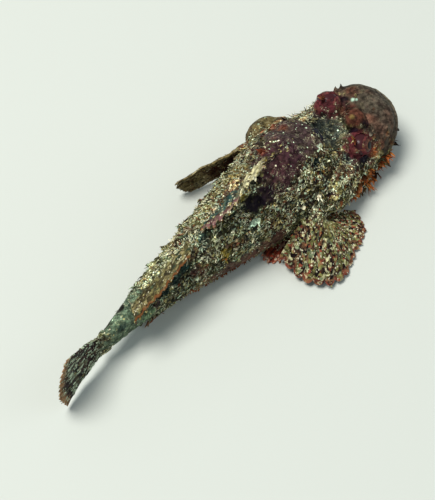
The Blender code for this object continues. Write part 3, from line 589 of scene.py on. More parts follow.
def skinFlaps(name, shape):
    spots, ways = readPoints(skin), readPoints(skin, "normal")
    station, _, up = alongFish(spots)
    ground, coat = flapGround, Coat()
    shaggy = np.clip(calmAt(spots) - ground["shaggy"], 0, 1) * ease((up - ground["above"]) / ground["over"])
    for look in flapLook[name]:
        clustered = lumps(spots, look["cluster"] * mm, 51) > ground["clusterFrom"]
        likely = shaggy * (ground["between"] + (1 - ground["between"]) * clustered)
        chosen = dice.choice(len(spots), look["count"], replace=False, p=likely / likely.sum())
        out, at = ways[chosen], station[chosen]
        back = wayTo(at, -1, 0, 0)
        lie = unit(back - out * np.sum(back * out, axis=1, keepdims=True))
        across = np.cross(out, lie)
        turn = dice.normal(0, look["swerve"], len(chosen))[:, None]
        stand = dice.uniform(*look["stand"], len(chosen))[:, None]
        grown = lie * np.cos(turn) + across * np.sin(turn) + out * stand
        breadth = across * np.cos(turn) - lie * np.sin(turn)
        lengths = dice.uniform(*look["length"], len(chosen)) * mm
        widths = dice.uniform(*look["width"], len(chosen)) * mm
        curls = dice.uniform(*look["curl"], len(chosen))
        coat.grow(shape, spots[chosen] - out * ground["sunk"] * mm, grown, breadth, lengths, widths, curls)
    return coat.make(name)


# Scales on the flanks, in staggered rows that point to the tail and get smaller towards it. They come in
# behind the gills and stay off the belly and the smooth parts.
scaleLook = {
    "from": 50, "to": 163, "step": 1.25, "turnStep": 1.35, "uneven": 0.012, "long": 1.65, "wide": 1.35,
    "varies": (0.85, 1.15), "tilt": 0.25, "tiltVaries": (0.4, 1.8), "swerve": 0.1, "sunk": 0.22,
    "middle": 14.0, "probe": 60, "shaggy": (0.3, 0.6), "smaller": 0.45, "shrinkFrom": 90,
    "shrinkOver": 70, "bareTo": 54, "bareFades": 16,
    "lowest": -0.55, "floor": 0.002, "girth": ((48, 62, 100, 140, 163), (24, 24, 17, 9, 6)),
}


def skinScales():
    look = scaleLook
    found, row, station = [], 0, look["from"]
    while station < look["to"]:
        size = 1 - look["smaller"] * ease((station - look["shrinkFrom"]) / look["shrinkOver"])
        middle = Vector(place(station, 0.0, look["middle"]))
        count = int(2 * math.pi * np.interp(station, *look["girth"]) / (look["turnStep"] * size))
        for k in range(count):
            angle = 2 * math.pi * (k + 0.5 * (row % 2)) / count + dice.normal(0, look["uneven"])
            bare = 1 - ease((station - look["bareTo"]) / look["bareFades"])
            if math.cos(angle) < look["lowest"] or dice.random() > 1 - bare:
                continue
            aim = Vector(wayTo(station, 0, math.sin(angle), math.cos(angle)))
            hit, normal, _, _ = skinTree.ray_cast(middle + aim * look["probe"] * mm, -aim)
            if hit and hit.z >= look["floor"]:
                found.append((hit, normal, station, size))
        station += look["step"] * size
        row += 1
    roots, outs, stations, sizes = (np.array(v, float) for v in zip(*found))
    shaggy = calmAt(roots) > dice.uniform(*look["shaggy"], len(roots))
    roots, outs, stations, sizes = (v[shaggy] for v in (roots, outs, stations, sizes))
    count = len(roots)
    back = wayTo(stations, -1, 0, 0)
    lie = unit(back - outs * np.sum(back * outs, axis=1, keepdims=True))
    tilt = (look["tilt"] * dice.uniform(*look["tiltVaries"], count))[:, None]
    lifts = unit(outs + np.cross(outs, lie) * dice.normal(0, look["swerve"], (count, 1)) - lie * tilt)
    points, faces = plateShape
    shape = points * (1, look["long"] / look["wide"], 1), faces
    wide = look["wide"] * sizes * dice.uniform(*look["varies"], count) * mm
    coat = Coat()
    coat.grow(shape, roots - lifts * look["sunk"] * mm, lifts, np.cross(lifts, lie), wide, wide)
    return coat.make("skin_scales")


# How far a tuft is sunk in the skin, in mm, and how its strands vary; a leaf is shorter and wider than a strand
tuftVaries = {
    "sunk": 0.35, "long": (0.6, 1.08), "wide": (0.65, 1.35), "turn": 0.2, "tint": 0.1, "leaf": (0.8, 1.7),
}


def tuft(coat, spot, normal, way, count, length, tint, look):
    # a brush of strands with a few leaves among them
    shift = dice.normal(0, look["patch"], (count, 3)) * mm
    starts = spot - normal * tuftVaries["sunk"] * mm + shift - normal * (shift @ normal)[:, None]
    ways = unit(way) + dice.normal(0, look["spread"], (count, 3))
    breadths = np.cross(ways, [0.0, 0.0, 1.0]) + dice.normal(0, tuftVaries["turn"], (count, 3))
    lengths = length * dice.uniform(*tuftVaries["long"], count) * mm
    widths = look["width"] * dice.uniform(*tuftVaries["wide"], count) * mm
    tints = np.clip(tint + dice.normal(0, tuftVaries["tint"], count), 0.01, 0.99)
    leaves = max(1, count // 3)
    kinds = ((leafShape, slice(0, leaves), *tuftVaries["leaf"]), (strandShape, slice(leaves, count), 1, 1))
    for shape, some, shorter, wider in kinds:
        coat.grow(shape, starts[some], ways[some], breadths[some], lengths[some] * shorter,
                  widths[some] * wider, look["curl"], tints[some], spot)


# The beard: fringed tufts along the lower jaw and cheek
beardLook = {
    # station, height, forward, out, up, strands, length, tint
    "tufts": (
        (3, 14, 0.5, 0.6, -0.5, 8, 2.2, 0.65), (5.5, 11, 0.5, 0.8, -0.5, 10, 2.8, 0.65),
        (8, 8.5, 0.5, 0.9, -0.4, 12, 3.4, 0.65), (11.5, 6.5, 0.3, 1, -0.3, 16, 5, 0.2),
        (14, 9.5, 0.1, 1, -0.1, 13, 4.4, 0.4), (15, 4.5, 0.1, 1, -0.2, 18, 6, 0.3),
        (18.5, 6.5, 0, 1, -0.1, 9, 4.6, 0.65), (21.5, 3.5, -0.2, 1, -0.1, 8, 4.4, 0.6),
        (25, 5, -0.2, 1, -0.1, 13, 6.4, 0.2), (28.5, 6.5, -0.1, 1, -0.1, 14, 6.4, 0.4),
        (27, 10.5, -0.2, 1, 0.1, 8, 4, 0.3), (32, 5, -0.3, 1, 0, 8, 4.2, 0.65),
        (36.5, 5.5, -0.4, 1, 0, 12, 5.2, 0.3), (41, 5, -0.5, 1, 0, 7, 3.2, 0.6),
        (16.5, 12.5, 0, 1, 0.2, 12, 4.6, 0.1), (19.5, 10.5, -0.1, 1, 0.1, 12, 4.8, 0.35),
        (26.5, 13.5, -0.2, 1, 0.2, 12, 4.4, 0.1), (30, 10, -0.3, 1, 0.1, 11, 4.6, 0.35),
        (34.5, 9.5, -0.4, 1, 0.1, 12, 4.4, 0.1),
    ),
    "width": 0.62, "spread": 0.42, "curl": 0.22, "patch": 1.0,
}


def makeBeard():
    coat = Coat()
    for _, side in bothSides:
        for station, height, forward, out, up, strands, length, tint in beardLook["tufts"]:
            spot, normal = skinAt(station, height, side)
            tuft(coat, spot, normal, wayTo(station, forward, side * out, up), strands, length, tint, beardLook)
    return coat.make("beard")


# Tufts on the head, back and flanks: station, side, height, forward, left, up, strands, length, tint
tuftLook = {
    "tufts": (
        (24.5, 12.5, 35, -0.4, 0.2, 1, 8, 3.6, 0.1), (28.5, -13, 33, -0.4, -0.2, 1, 8, 3.6, 0.1),
        (13, 5, 30, 0.4, 0.3, 1, 5, 2, 0.5), (13, -5, 30, 0.4, -0.3, 1, 5, 2, 0.5),
        (47, -8.2, 39.4, 0.2, -0.3, 1, 10, 2.4, 0.77), (50, -11, 36.5, -0.5, -0.6, 0.8, 8, 3.6, 0.6),
        (44, 8, 33, -0.3, 0.4, 1, 7, 3.4, 0.6), (52, -15, 34, -0.3, -0.9, 0.6, 8, 3.2, 0.35),
        (58, -18.9, 25.8, -0.5, -0.9, 0.4, 10, 3.4, 0.75), (40, -14, 27, -0.5, -0.6, 0.8, 7, 2.8, 0.6),
        (70.5, 3, 47, -0.3, 0.2, 0.9, 12, 3.6, 0.1), (91.8, -11.9, 26.3, -0.6, -0.8, 0.5, 10, 2.8, 0.77),
        (66, -21, 24, -0.6, -0.8, 0.3, 7, 3, 0.7), (78, -18, 24, -0.7, -0.8, 0.3, 7, 2.8, 0.5),
        (92, -15, 22, -0.7, -0.8, 0.3, 7, 2.8, 0.7), (106, -12, 20, -0.7, -0.8, 0.3, 7, 2.6, 0.4),
        (120, -9.5, 18, -0.7, -0.8, 0.3, 6, 2.4, 0.6), (70, 20, 24, -0.6, 0.8, 0.3, 7, 3, 0.5),
        (84, 17, 24, -0.7, 0.8, 0.3, 7, 2.8, 0.7), (98, 14, 22, -0.7, 0.8, 0.3, 7, 2.6, 0.4),
        (112, 11, 20, -0.7, 0.8, 0.3, 6, 2.4, 0.6),
    ),
    "width": 0.6, "spread": 0.3, "curl": 0.1, "patch": 0.4,
}
# Short fringes low on the sides: from, to, how many, height and tint
fringeLook = {
    "rows": ((38, 54, 13, 7.0, 0.1), (92, 134, 30, 4.2, 0.1), (60, 90, 18, 4.0, 0.3)),
    "length": (1.2, 2.2), "width": 0.5, "spread": 0.35, "curl": 0.1, "patch": 0.4,
}


def makeTufts():
    coat = Coat()
    for station, side, height, forward, out, up, strands, length, tint in tuftLook["tufts"]:
        spot, normal = skinNear(station, side, height)
        tuft(coat, spot, normal, wayTo(station, forward, out, up), strands, length, tint, tuftLook)
    for _, side in bothSides:
        for start, end, count, height, tint in fringeLook["rows"]:
            for station in np.linspace(start, end, count) + dice.normal(0, 0.5, count):
                spot, normal = skinAt(station, height + dice.normal(0, 0.5), side)
                way, length = wayTo(station, -0.5, side, -0.15), dice.uniform(*fringeLook["length"])
                tuft(coat, spot, normal, way, 4, length, tint, fringeLook)
    return coat.make("skin_tufts")


flaps, curls = skinFlaps("skin_flaps", leafShape), skinFlaps("skin_curls", strandShape)
scales, beard, tufts = skinScales(), makeBeard(), makeTufts()
print("coat:", [triangles(piece) for piece in (flaps, curls, scales, beard, tufts)], "triangles")


# Fins: each is laid out on a grid along its rays, then thickened, most of all on the rays. How deep the edge
# is notched between the rays, how wavy and slack the web is, how thick it is in mm, and its frills.
finLook = {
    "between": 8, "notch": 0.05, "scallop": 2.2, "uneven": 0.05, "fork": 0.45, "slack": 0.1, "web": 0.4,
    "ray": 1.0, "tip": 0.4, "lowest": 0.4, "rayHalf": 0.17, "rayPower": 0.8, "rootReach": 0.22, "sunk": 1.4,
    "raggedLeast": 0.35, "raggedMore": 1.3, "waveSize": 6, "crinkle": 0.35, "crinkleSize": 2.2, "knots": 0.25,
    "thinning": 1.5,
}
# Frills: the share of them at the tips and how far out those are, where the others are along the rays, how
# much they stand out and turn, how deep they sit in mm, how wide they are for their length, and their curl
frillLook = {
    "atTips": 0.08, "tipReach": 0.96, "reach": (0.12, 0.85), "stand": (0.1, 0.7), "turn": 0.2, "sunk": 0.1,
    "wide": 0.55, "curl": 0.2,
}
backLine = (
    (44, 51, 62, 72, 85, 100, 116, 132, 148, 160, 166),
    (32.5, 41.5, 47.3, 48.5, 46, 41, 34.5, 28, 24, 21.8, 21.2),
)
bellyLine = ((100, 116, 132, 148), (0, 0.2, 3.5, 6.6))
frills = Coat()  # the bits of skin that grow along the rays


def ridgeOf(u, reach, look):
    # 1 on a ray and 0 between; past the fork each ray splits in two
    across = (u * (look["rays"] - 1)) % 1.0
    across = np.minimum(across, 1 - across)
    apart = look["rayHalf"] * ease((reach - look["fork"]) / (1 - look["fork"])) if look["fork"] < 1 else 0
    return np.clip(1 - np.abs(across - apart) / look["rayHalf"], 0, 1) ** look["rayPower"]


def makeFin(name, node, path, look):
    rays = look["rays"]
    deselectAll()
    columns = (rays - 1) * look["between"]
    bpy.ops.mesh.primitive_grid_add(x_subdivisions=columns, y_subdivisions=look["rows"], size=2)
    fin = nameNew(name)
    spots = readPoints(fin)
    u, reach = (spots[:, 0] + 1) / 2, (spots[:, 1] + 1) / 2
    across = (u * (rays - 1)) % 1.0
    across = np.minimum(across, 1 - across) * 2
    edge = np.stack([u * rays, u * 0, u * 0], axis=1)
    ragged = look["raggedLeast"] + look["raggedMore"] * lumps(edge + 0.31, 0.9, look["seed"])
    uneven = look["uneven"] * lumps(edge, 2.4, look["seed"] + 2)
    t = reach * (1 - uneven - look["notch"] * ragged * across ** look["scallop"])
    ridge = ridgeOf(u, reach, look)
    laid = path(u, t)
    writePoints(fin, laid)
    ways = readPoints(fin, "normal")
    waves = lumps(laid, look["waveSize"] * mm, look["seed"] + 1) - 0.5
    crinkles = lumps(laid, look["crinkleSize"] * mm, look["seed"] + 4) - 0.5
    wavy = look["wave"] * waves * np.sin(math.pi * reach) ** 0.5
    wavy += look["crinkle"] * look["wave"] * crinkles * reach
    slack = look["slack"] * (1 - ridge) * reach
    laid = laid + ways * (wavy + slack)[:, None] * mm
    laid[:, 2] = np.maximum(laid[:, 2], look["lowest"] * mm)
    writePoints(fin, laid)
    bumps = 1 + look["knots"] * np.sin(reach * look["joints"] * 2 * math.pi) * ridge
    thick = look["web"] + (look["ray"] * bumps - look["web"]) * ridge
    thick = thick + (look["tip"] - thick) * reach ** look["thinning"]
    thick = thick + (look["root"] - thick) * (1 - ease(reach / look["rootReach"]))
    group = fin.vertex_groups.new(name="thick")
    most = float(thick.max())
    for index, share in enumerate(thick / most):
        group.add([index], float(share), "REPLACE")
    writeUv(fin, "finMap", u * (rays - 1), reach)
    step = fin.modifiers.new("thicken", "SOLIDIFY")
    step.thickness = most * mm
    step.offset = 0
    step.vertex_group = "thick"
    step.use_even_offset = False
    applyModifiers(fin)
    writePoints(fin, np.clip(readPoints(fin), keepLow, keepHigh))
    smoothShade(fin, 70)
    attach(fin, "root")
    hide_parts(node)
    growFrills(fin, path, look)
    return fin


def growFrills(fin, path, look):
    # small leaves of skin here and there along the rays, on both faces, and some at the tips
    count, nearby = look["frills"], surfaceTree(fin)
    ray = dice.integers(0, look["rays"], count) / (look["rays"] - 1)
    atTips = dice.random(count) < frillLook["atTips"]
    reach = np.where(atTips, frillLook["tipReach"], dice.uniform(*frillLook["reach"], count))
    here, ahead = path(ray, reach), path(ray, reach + 0.04)
    beside = path(ray + np.where(ray < 0.5, 0.02, -0.02), reach)
    along = unit(ahead - here)
    out = unit(np.cross(along, beside - here)) * dice.choice([-1, 1], count)[:, None]
    roots = np.array([nearby.find_nearest(Vector(spot))[0] for spot in here + out * 2 * mm])
    ways = along + out * dice.uniform(*frillLook["stand"], (count, 1))
    ways = ways + dice.normal(0, frillLook["turn"], (count, 3))
    lengths = dice.uniform(*look["frill"], count) * mm
    tints = dice.uniform(*look["frillTint"], count)
    starts, widths = roots - out * frillLook["sunk"] * mm, lengths * frillLook["wide"]
    frills.grow(leafShape, starts, ways, np.cross(ways, out), lengths, widths, frillLook["curl"], tints)


def ramp(ends, u):
    # a value that starts at the first of two numbers and grows by the second
    start, growth = ends
    return start + growth * u


def swell(look, u):
    # the length of a fin's rays, longest somewhere in its middle
    least, more, start, span = look["length"]
    return least + more * np.sin(math.pi * (start + span * u))


def bow(root, way, length, heightFrom, heightTo, t, sag):
    laid = root + way * (length * t)[:, None] * mm
    laid[:, 2] = (heightTo + (heightFrom - heightTo) * (1 - t**sag)) * mm
    return laid


pectoral = {
    **finLook, "rays": 17, "rows": 46, "scallop": 2.6, "wave": 2.0, "slack": -0.25, "web": 0.5, "ray": 1.1,
    "tip": 0.42, "root": 2.4, "joints": 11, "lowest": 0.25, "seed": 61,
    "frills": 260, "frill": (0.45, 1.05), "frillTint": (0.2, 0.75),
    "low": 4.5, "high": 21.5, "slant": 4.5, "station": {left: 56, right: 56.5},
    # how long the spread fin's rays are by where they point, in degrees from straight ahead
    "bearings": (12, 45, 78, 95, 112, 125, 144, 160, 176),
    "lengths": (17.5, 19, 18, 20.5, 25.5, 28, 26, 23.5, 22),
}
rootShares = np.linspace(0, 1, 9)


def pectoralRoots(side):
    spots = []
    for share in rootShares:
        height = pectoral["low"] + (pectoral["high"] - pectoral["low"]) * share
        spot, normal = skinAt(pectoral["station"][side] + pectoral["slant"] * share, height, side)
        spots.append(spot - normal * 0.6 * mm)
    return np.array(spots)


pectoralLines = {side: pectoralRoots(side) for _, side in bothSides}


def pectoralRoot(u, side):
    return np.stack([np.interp(u, rootShares, pectoralLines[side][:, k]) for k in (0, 1, 2)], axis=1)


def spreadPath(u, t):
    # the right pectoral: a fan laid out on the floor, from ahead of its root to behind it
    aim = pectoral["bearings"][0] + (pectoral["bearings"][-1] - pectoral["bearings"][0]) * u
    length = np.interp(aim, pectoral["bearings"], pectoral["lengths"])
    bearing = np.radians(aim - 8 * (1 - t) * (1 - u))
    root = pectoralRoot(u, right)
    way = wayTo(pectoral["station"][right] + 2, np.cos(bearing), -np.sin(bearing), 0)
    laid = bow(root, way, length, root[:, 2] / mm, 0.4 + 3.2 * u**2, t, 1.5)
    laid[:, 2] += 0.9 * mm * np.sin(9 * u + 2) * t * (1 - t)
    return laid


def sweptPath(u, t):
    # the left pectoral, folded back along the flank
    bearing = np.radians(20 - 4 * u - 3 * t * (1 - u))
    length = 32.5 + 3 * ease(u / 0.4) - 1.5 * ease((u - 0.75) / 0.25)
    root = pectoralRoot(u, left)
    way = wayTo(pectoral["station"][left] + 2, -np.cos(bearing), np.sin(bearing), 0)
    return bow(root, way, length, root[:, 2] / mm, 0.5 + 13 * u**1.2, t, 1.2)


pelvic = {
    **finLook, "rays": 6, "rows": 26, "uneven": 0.08, "wave": 0.7, "slack": -0.1, "ray": 1.1,
    "root": 1.4, "joints": 8, "lowest": 0.3, "seed": 71,
    "frills": 30, "frill": (0.6, 1.3), "frillTint": (0.0, 0.25),
    "stations": (60, 3), "bearings": (32, -24), "length": (17, 9, 0.18, 0.55),
    "out": 10.5, "heights": (1.6, 0.7),
}


def pelvicPath(side):
    def path(u, t):
        station, bearing = ramp(pelvic["stations"], u), np.radians(ramp(pelvic["bearings"], u))
        start, end = pelvic["heights"]
        way = wayTo(station, -np.cos(bearing), side * np.sin(bearing), 0)
        root = place(station, side * pelvic["out"] + u * 0, start)
        return bow(root, way, swell(pelvic, u), start, end, t, 1)
    return path


tailFin = {
    **finLook, "rays": 13, "rows": 48, "notch": 0.045, "fork": 0.4, "wave": 1.0, "slack": 0.12, "web": 0.42,
    "ray": 1.15, "root": 4.4, "joints": 13, "seed": 81,
    "frills": 110, "frill": (0.6, 1.4), "frillTint": (0.42, 0.75),
    "length": 34, "low": 8.8, "deep": 11.4, "slope": -12.5, "spread": 47,
}


def tailPath(u, t):
    slope = np.radians(tailFin["slope"] + tailFin["spread"] * u)
    length = tailFin["length"] * (0.9 + 0.1 * np.sin(math.pi * u)) * t
    turn = np.radians(1 + 6 * t)
    run = length * np.cos(slope)
    start = place(spine["length"] - 1.5 + u * 0, 0.0, tailFin["low"] + tailFin["deep"] * u)
    laid = start + wayTo(spine["length"] + u * 0, -np.cos(turn), -np.sin(turn), 0) * run[:, None] * mm
    laid[:, 2] += length * np.sin(slope) * mm
    return laid


softDorsal = {
    **finLook, "rays": 10, "between": 10, "rows": 40, "notch": 0.07, "scallop": 2.0, "uneven": 0.16,
    "fork": 0.5, "wave": 1.3, "slack": 0.3, "root": 1.8, "joints": 7, "lowest": 1.0, "seed": 91,
    "frills": 70, "frill": (0.6, 1.4), "frillTint": (0.28, 0.65),
    "stations": (115.5, 33.5), "length": (13, 5, 0.15, 0.7),
}


def softPath(u, t):
    station, length = ramp(softDorsal["stations"], u), swell(softDorsal, u)
    start = place(station, u * 0, np.interp(station, *backLine) - softDorsal["sunk"])
    reach = wayTo(station, -length * t * 0.45, -0.56 * length * t, length * (0.45 * t - 0.2 * t * t))
    return start + reach * mm


spinyDorsal = {
    **finLook, "rays": 12, "between": 10, "rows": 34, "notch": 0.13, "scallop": 1.4, "uneven": 0.0, "fork": 2.0,
    "wave": 1.8, "slack": 0.25, "web": 0.45, "ray": 1.4, "tip": 0.5, "root": 2.2, "joints": 0, "lowest": 1.0,
    "seed": 101, "frills": 110, "frill": (0.8, 2.2), "frillTint": (0.3, 0.85),
    "stations": (62, 43.5), "lengths": (4, 6, 9, 13.5, 15, 14, 12.5, 13, 13.5, 12.5, 9, 6),
    # the tassels on its tips
    "width": 0.5, "spread": 0.35, "curl": 0.2, "patch": 0.15,
}


def spinyPath(u, t):
    station, spines = ramp(spinyDorsal["stations"], u), spinyDorsal["rays"]
    length = np.interp(u * (spines - 1), range(spines), spinyDorsal["lengths"]) * t
    rise, lean = np.radians(42 - 5 * u), np.radians(48 + 24 * ease((u - 0.4) / 0.15))
    up = length * np.sin(rise)
    start = place(station, u * 0, np.interp(station, *backLine) - spinyDorsal["sunk"])
    return start + wayTo(station, -length * np.cos(rise), -up * np.sin(lean), up * np.cos(lean)) * mm


anal = {
    **finLook, "rays": 8, "rows": 24, "notch": 0.06, "scallop": 2.0, "uneven": 0.08, "fork": 0.5, "wave": 0.5,
    "root": 1.5, "joints": 7, "seed": 111, "frills": 24, "frill": (0.5, 1.1), "frillTint": (0.0, 0.4),
    "stations": (119, 17), "length": (9, 3, 0.2, 0.6),
}


def analPath(u, t):
    station, length = ramp(anal["stations"], u), swell(anal, u)
    height = np.interp(station, *bellyLine) + 1.0
    laid = place(station, u * 0 - 1.0, height) + wayTo(station, -length * 0.9 * t, -length * 0.2 * t, 0) * mm
    laid[:, 2] = (height + (0.8 - height) * t) * mm
    return laid


makeFin("pectoral_right", "pectoral_fin_right", spreadPath, pectoral)
makeFin("pectoral_left", "pectoral_fin_left", sweptPath, pectoral)
for name, side in bothSides:
    makeFin("pelvic_" + name, "pelvic_fin_" + name, pelvicPath(side), pelvic)
makeFin("tail", "tail_fin", tailPath, tailFin)
makeFin("dorsal_soft", "dorsal_fin_soft", softPath, softDorsal)
makeFin("dorsal_spiny", "dorsal_fin_spines", spinyPath, spinyDorsal)
makeFin("anal", "anal_fin", analPath, anal)

# A tassel on each spine's tip, longest on the fourth
for k in range(spinyDorsal["rays"]):
    share = np.array([k / (spinyDorsal["rays"] - 1)])
    tip, before = spinyPath(share, np.array([0.97]))[0], spinyPath(share, np.array([0.8]))[0]
    way = unit(tip - before)
    tuft(frills, tip, way, way, 6, 3.2 if k == 3 else 1.5, 0.76 if 2 < k < 6 else 0.9, spinyDorsal)
finFrills = frills.make("fin_frills")
print("fins made; frills:", triangles(finFrills), "triangles")


def makeEye(name, side):
    centre, way = eyePlace(side)
    deselectAll()
    bpy.ops.mesh.primitive_uv_sphere_add(segments=64, ring_count=48, radius=eyeLook["radius"] * mm)
    ball = nameNew("eye_" + name + "_ball")
    spots = readPoints(ball)
    share = spots[:, 2] / (eyeLook["radius"] * mm)
    cornea = eyeLook["bulge"] * ease((share - eyeLook["bulgeFrom"]) / eyeLook["bulgeOver"])
    writePoints(ball, spots * (1 + cornea)[:, None])
    writeValues(ball, "eyeTurn", "FLOAT", share)
    turn = np.arctan2(spots[:, 1], spots[:, 0])
    writeValues(ball, "eyeRound", "FLOAT_VECTOR", np.stack([np.cos(turn), np.sin(turn), share * 2], axis=1))
    turnTo(ball, centre, way)
    smoothShade(ball, 80)
    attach(ball, "root")
    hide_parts("eye_" + name)
    return ball


eyes = [makeEye(name, side) for name, side in bothSides]
print("eyes made")


# Material helpers

def feed(tree, node, values):
    # links a socket, or sets a value
    for socket, value in values.items():
        if isinstance(value, bpy.types.NodeSocket):
            tree.links.new(value, node.inputs[socket])
        else:
            node.inputs[socket].default_value = value


def addNode(tree, kind, values=None, **settings):
    made = tree.nodes.new(kind)
    for name, value in settings.items():
        setattr(made, name, value)
    feed(tree, made, values or {})
    return made


def rgba(colour):
    # a colour is named in tones or written in thousandths; a socket stays as it is
    if isinstance(colour, bpy.types.NodeSocket):
        return colour
    return (*(part / 1000 for part in tones.get(colour, colour)), 1)


def mixColour(tree, share, first, second, blend="MIX"):
    values = {0: share, 6: rgba(first), 7: rgba(second)}
    return addNode(tree, "ShaderNodeMix", values, data_type="RGBA", blend_type=blend).outputs[2]


def shadeBy(tree, colour, grey):
    return mixColour(tree, 1.0, colour, grey, "MULTIPLY")


def layered(tree, colour, *layers):
    # a colour with others laid over it, each by its share
    for share, tone in layers:
        colour = mixColour(tree, share, colour, tone)
    return colour


def mapRange(tree, value, low, high, toLow=0.0, toHigh=1.0):
    values = {"Value": value, "From Min": low, "From Max": high, "To Min": toLow, "To Max": toHigh}
    return addNode(tree, "ShaderNodeMapRange", values, interpolation_type="SMOOTHSTEP").outputs["Result"]


def maths(tree, operation, first, second=0.5, third=0.5):
    return addNode(tree, "ShaderNodeMath", {0: first, 1: second, 2: third}, operation=operation).outputs[0]


def times(tree, *values):
    total = values[0]
    for value in values[1:]:
        total = maths(tree, "MULTIPLY", total, value)
    return total


def vectors(tree, operation, first, second):
    made = addNode(tree, "ShaderNodeVectorMath", {0: first, 1: second}, operation=operation)
    return made.outputs["Value" if operation == "DISTANCE" else "Vector"]


def scaled(tree, vector, factor):
    made = addNode(tree, "ShaderNodeVectorMath", {0: vector, "Scale": factor}, operation="SCALE")
    return made.outputs["Vector"]


def noise(tree, at, scale, detail=2.0, rough=0.5, output="Fac"):
    values = {"Vector": at, "Scale": scale, "Detail": detail, "Roughness": rough}
    return addNode(tree, "ShaderNodeTexNoise", values).outputs[output]


def cloud(tree, at, look):
    # noise of a scale, detail and roughness, with one stretch of it mapped to another
    scale, detail, rough, *stretch = look
    return mapRange(tree, noise(tree, at, scale, detail, rough), *stretch)


def split(tree, vector):
    return addNode(tree, "ShaderNodeSeparateXYZ", {0: vector}).outputs


def cellsOf(tree, at, scale, randomness=1.0):
    # how far it is to the middle of the cell, and three random values of the cell
    values = {"Vector": at, "Scale": scale, "Randomness": randomness}
    cells = addNode(tree, "ShaderNodeTexVoronoi", values).outputs
    return cells["Distance"], addNode(tree, "ShaderNodeSeparateColor", {0: cells["Color"]}).outputs


def steps(tree, value, stops):
    # a colour picked by the value, with hard steps between
    made = addNode(tree, "ShaderNodeValToRGB", {0: value})
    bar = made.color_ramp
    bar.interpolation = "CONSTANT"
    while len(bar.elements) < len(stops):
        bar.elements.new(1.0)
    for element, (position, colour) in zip(bar.elements, stops):
        element.position = position
        element.color = rgba(colour)
    return made.outputs["Color"]


def newGroup(name, inputs, outputs):
    tree = bpy.data.node_groups.new(name, "ShaderNodeTree")
    for socket, kind, value in inputs:
        made = tree.interface.new_socket(name=socket, in_out="INPUT", socket_type="NodeSocket" + kind)
        if value is not None:
            made.default_value = value
    for socket, kind in outputs:
        tree.interface.new_socket(name=socket, in_out="OUTPUT", socket_type="NodeSocket" + kind)
    return tree, tree.nodes.new("NodeGroupInput").outputs, tree.nodes.new("NodeGroupOutput")


def useGroup(tree, group, values):
    return addNode(tree, "ShaderNodeGroup", values, node_tree=group).outputs


def spotGroup():
    # a ragged soft spot round a centre
    inputs = (
        ("At", "Vector", None), ("Ragged", "Float", 0.0), ("Centre", "Vector", None),
        ("Radius", "Float", 0.005), ("Soft", "Float", 0.5),
    )
    tree, given, result = newGroup("raggedSpot", inputs, (("Mask", "Float"),))
    share = maths(tree, "DIVIDE", vectors(tree, "DISTANCE", given["At"], given["Centre"]), given["Radius"])
    share = maths(tree, "ADD", share, given["Ragged"])
    low = maths(tree, "SUBTRACT", 1.0, given["Soft"])
    feed(tree, result, {"Mask": mapRange(tree, share, 1.0, low)})
    return tree


def speckGroup():
    # scattered specks: each cell keeps its speck only below the share asked for
    inputs = (
        ("At", "Vector", None), ("Scale", "Float", 700.0), ("Share", "Float", 0.3), ("Size", "Float", 0.4),
    )
    tree, given, result = newGroup("specks", inputs, (("Mask", "Float"),))
    wobble = noise(tree, given["At"], 900.0, 2.0, 0.5, "Color")
    at = vectors(tree, "ADD", given["At"], scaled(tree, wobble, 0.0014))
    away, chances = cellsOf(tree, at, given["Scale"])
    keep = maths(tree, "LESS_THAN", chances[0], given["Share"])
    size = times(tree, given["Size"], maths(tree, "MULTIPLY_ADD", chances[1], 0.8, 0.5))
    inside = mapRange(tree, away, size, times(tree, size, 0.5))
    feed(tree, result, {"Mask": times(tree, keep, inside)})
    return tree


raggedSpot, specks = spotGroup(), speckGroup()


def speckMask(tree, at, scale, share, size, strength):
    values = {"At": at, "Scale": scale, "Share": share, "Size": size}
    return times(tree, useGroup(tree, specks, values)["Mask"], strength)


# Colours of the fish in thousandths of full linear light, and the patches that it carries. Some patches are
# painted shadow, and the tone pit is the painted shadow that the soft dorsal casts on the flank.
tones = {
    "dark": (10, 6, 6), "brown": (90, 45, 26), "umber": (32, 18, 14),
    "teal": (65, 90, 66), "cream": (820, 780, 540), "mint": (560, 720, 500),
    "rust": (260, 65, 20), "olive": (160, 130, 32), "wine": (75, 14, 18),
    "purple": (46, 23, 29), "black": (4, 2, 5), "straw": (420, 360, 140),
    "moss": (85, 98, 34), "stalk": (75, 115, 75), "rearGround": (125, 158, 74),
    "rearDeep": (40, 50, 30), "algae": (55, 62, 18), "ruddy": (130, 42, 22),
    "shadow": (26, 16, 15), "squiggle": (660, 660, 400), "flush": (80, 34, 23),
    "mottle": (16, 10, 8), "pit": (5, 18, 16), "eyeRim": (50, 13, 16),
    "irisDark": (28, 8, 9), "irisLight": (85, 24, 20), "irisFleck": (170, 80, 45),
    "eyeRing": (110, 50, 22), "pupil": (2, 2, 3),
}
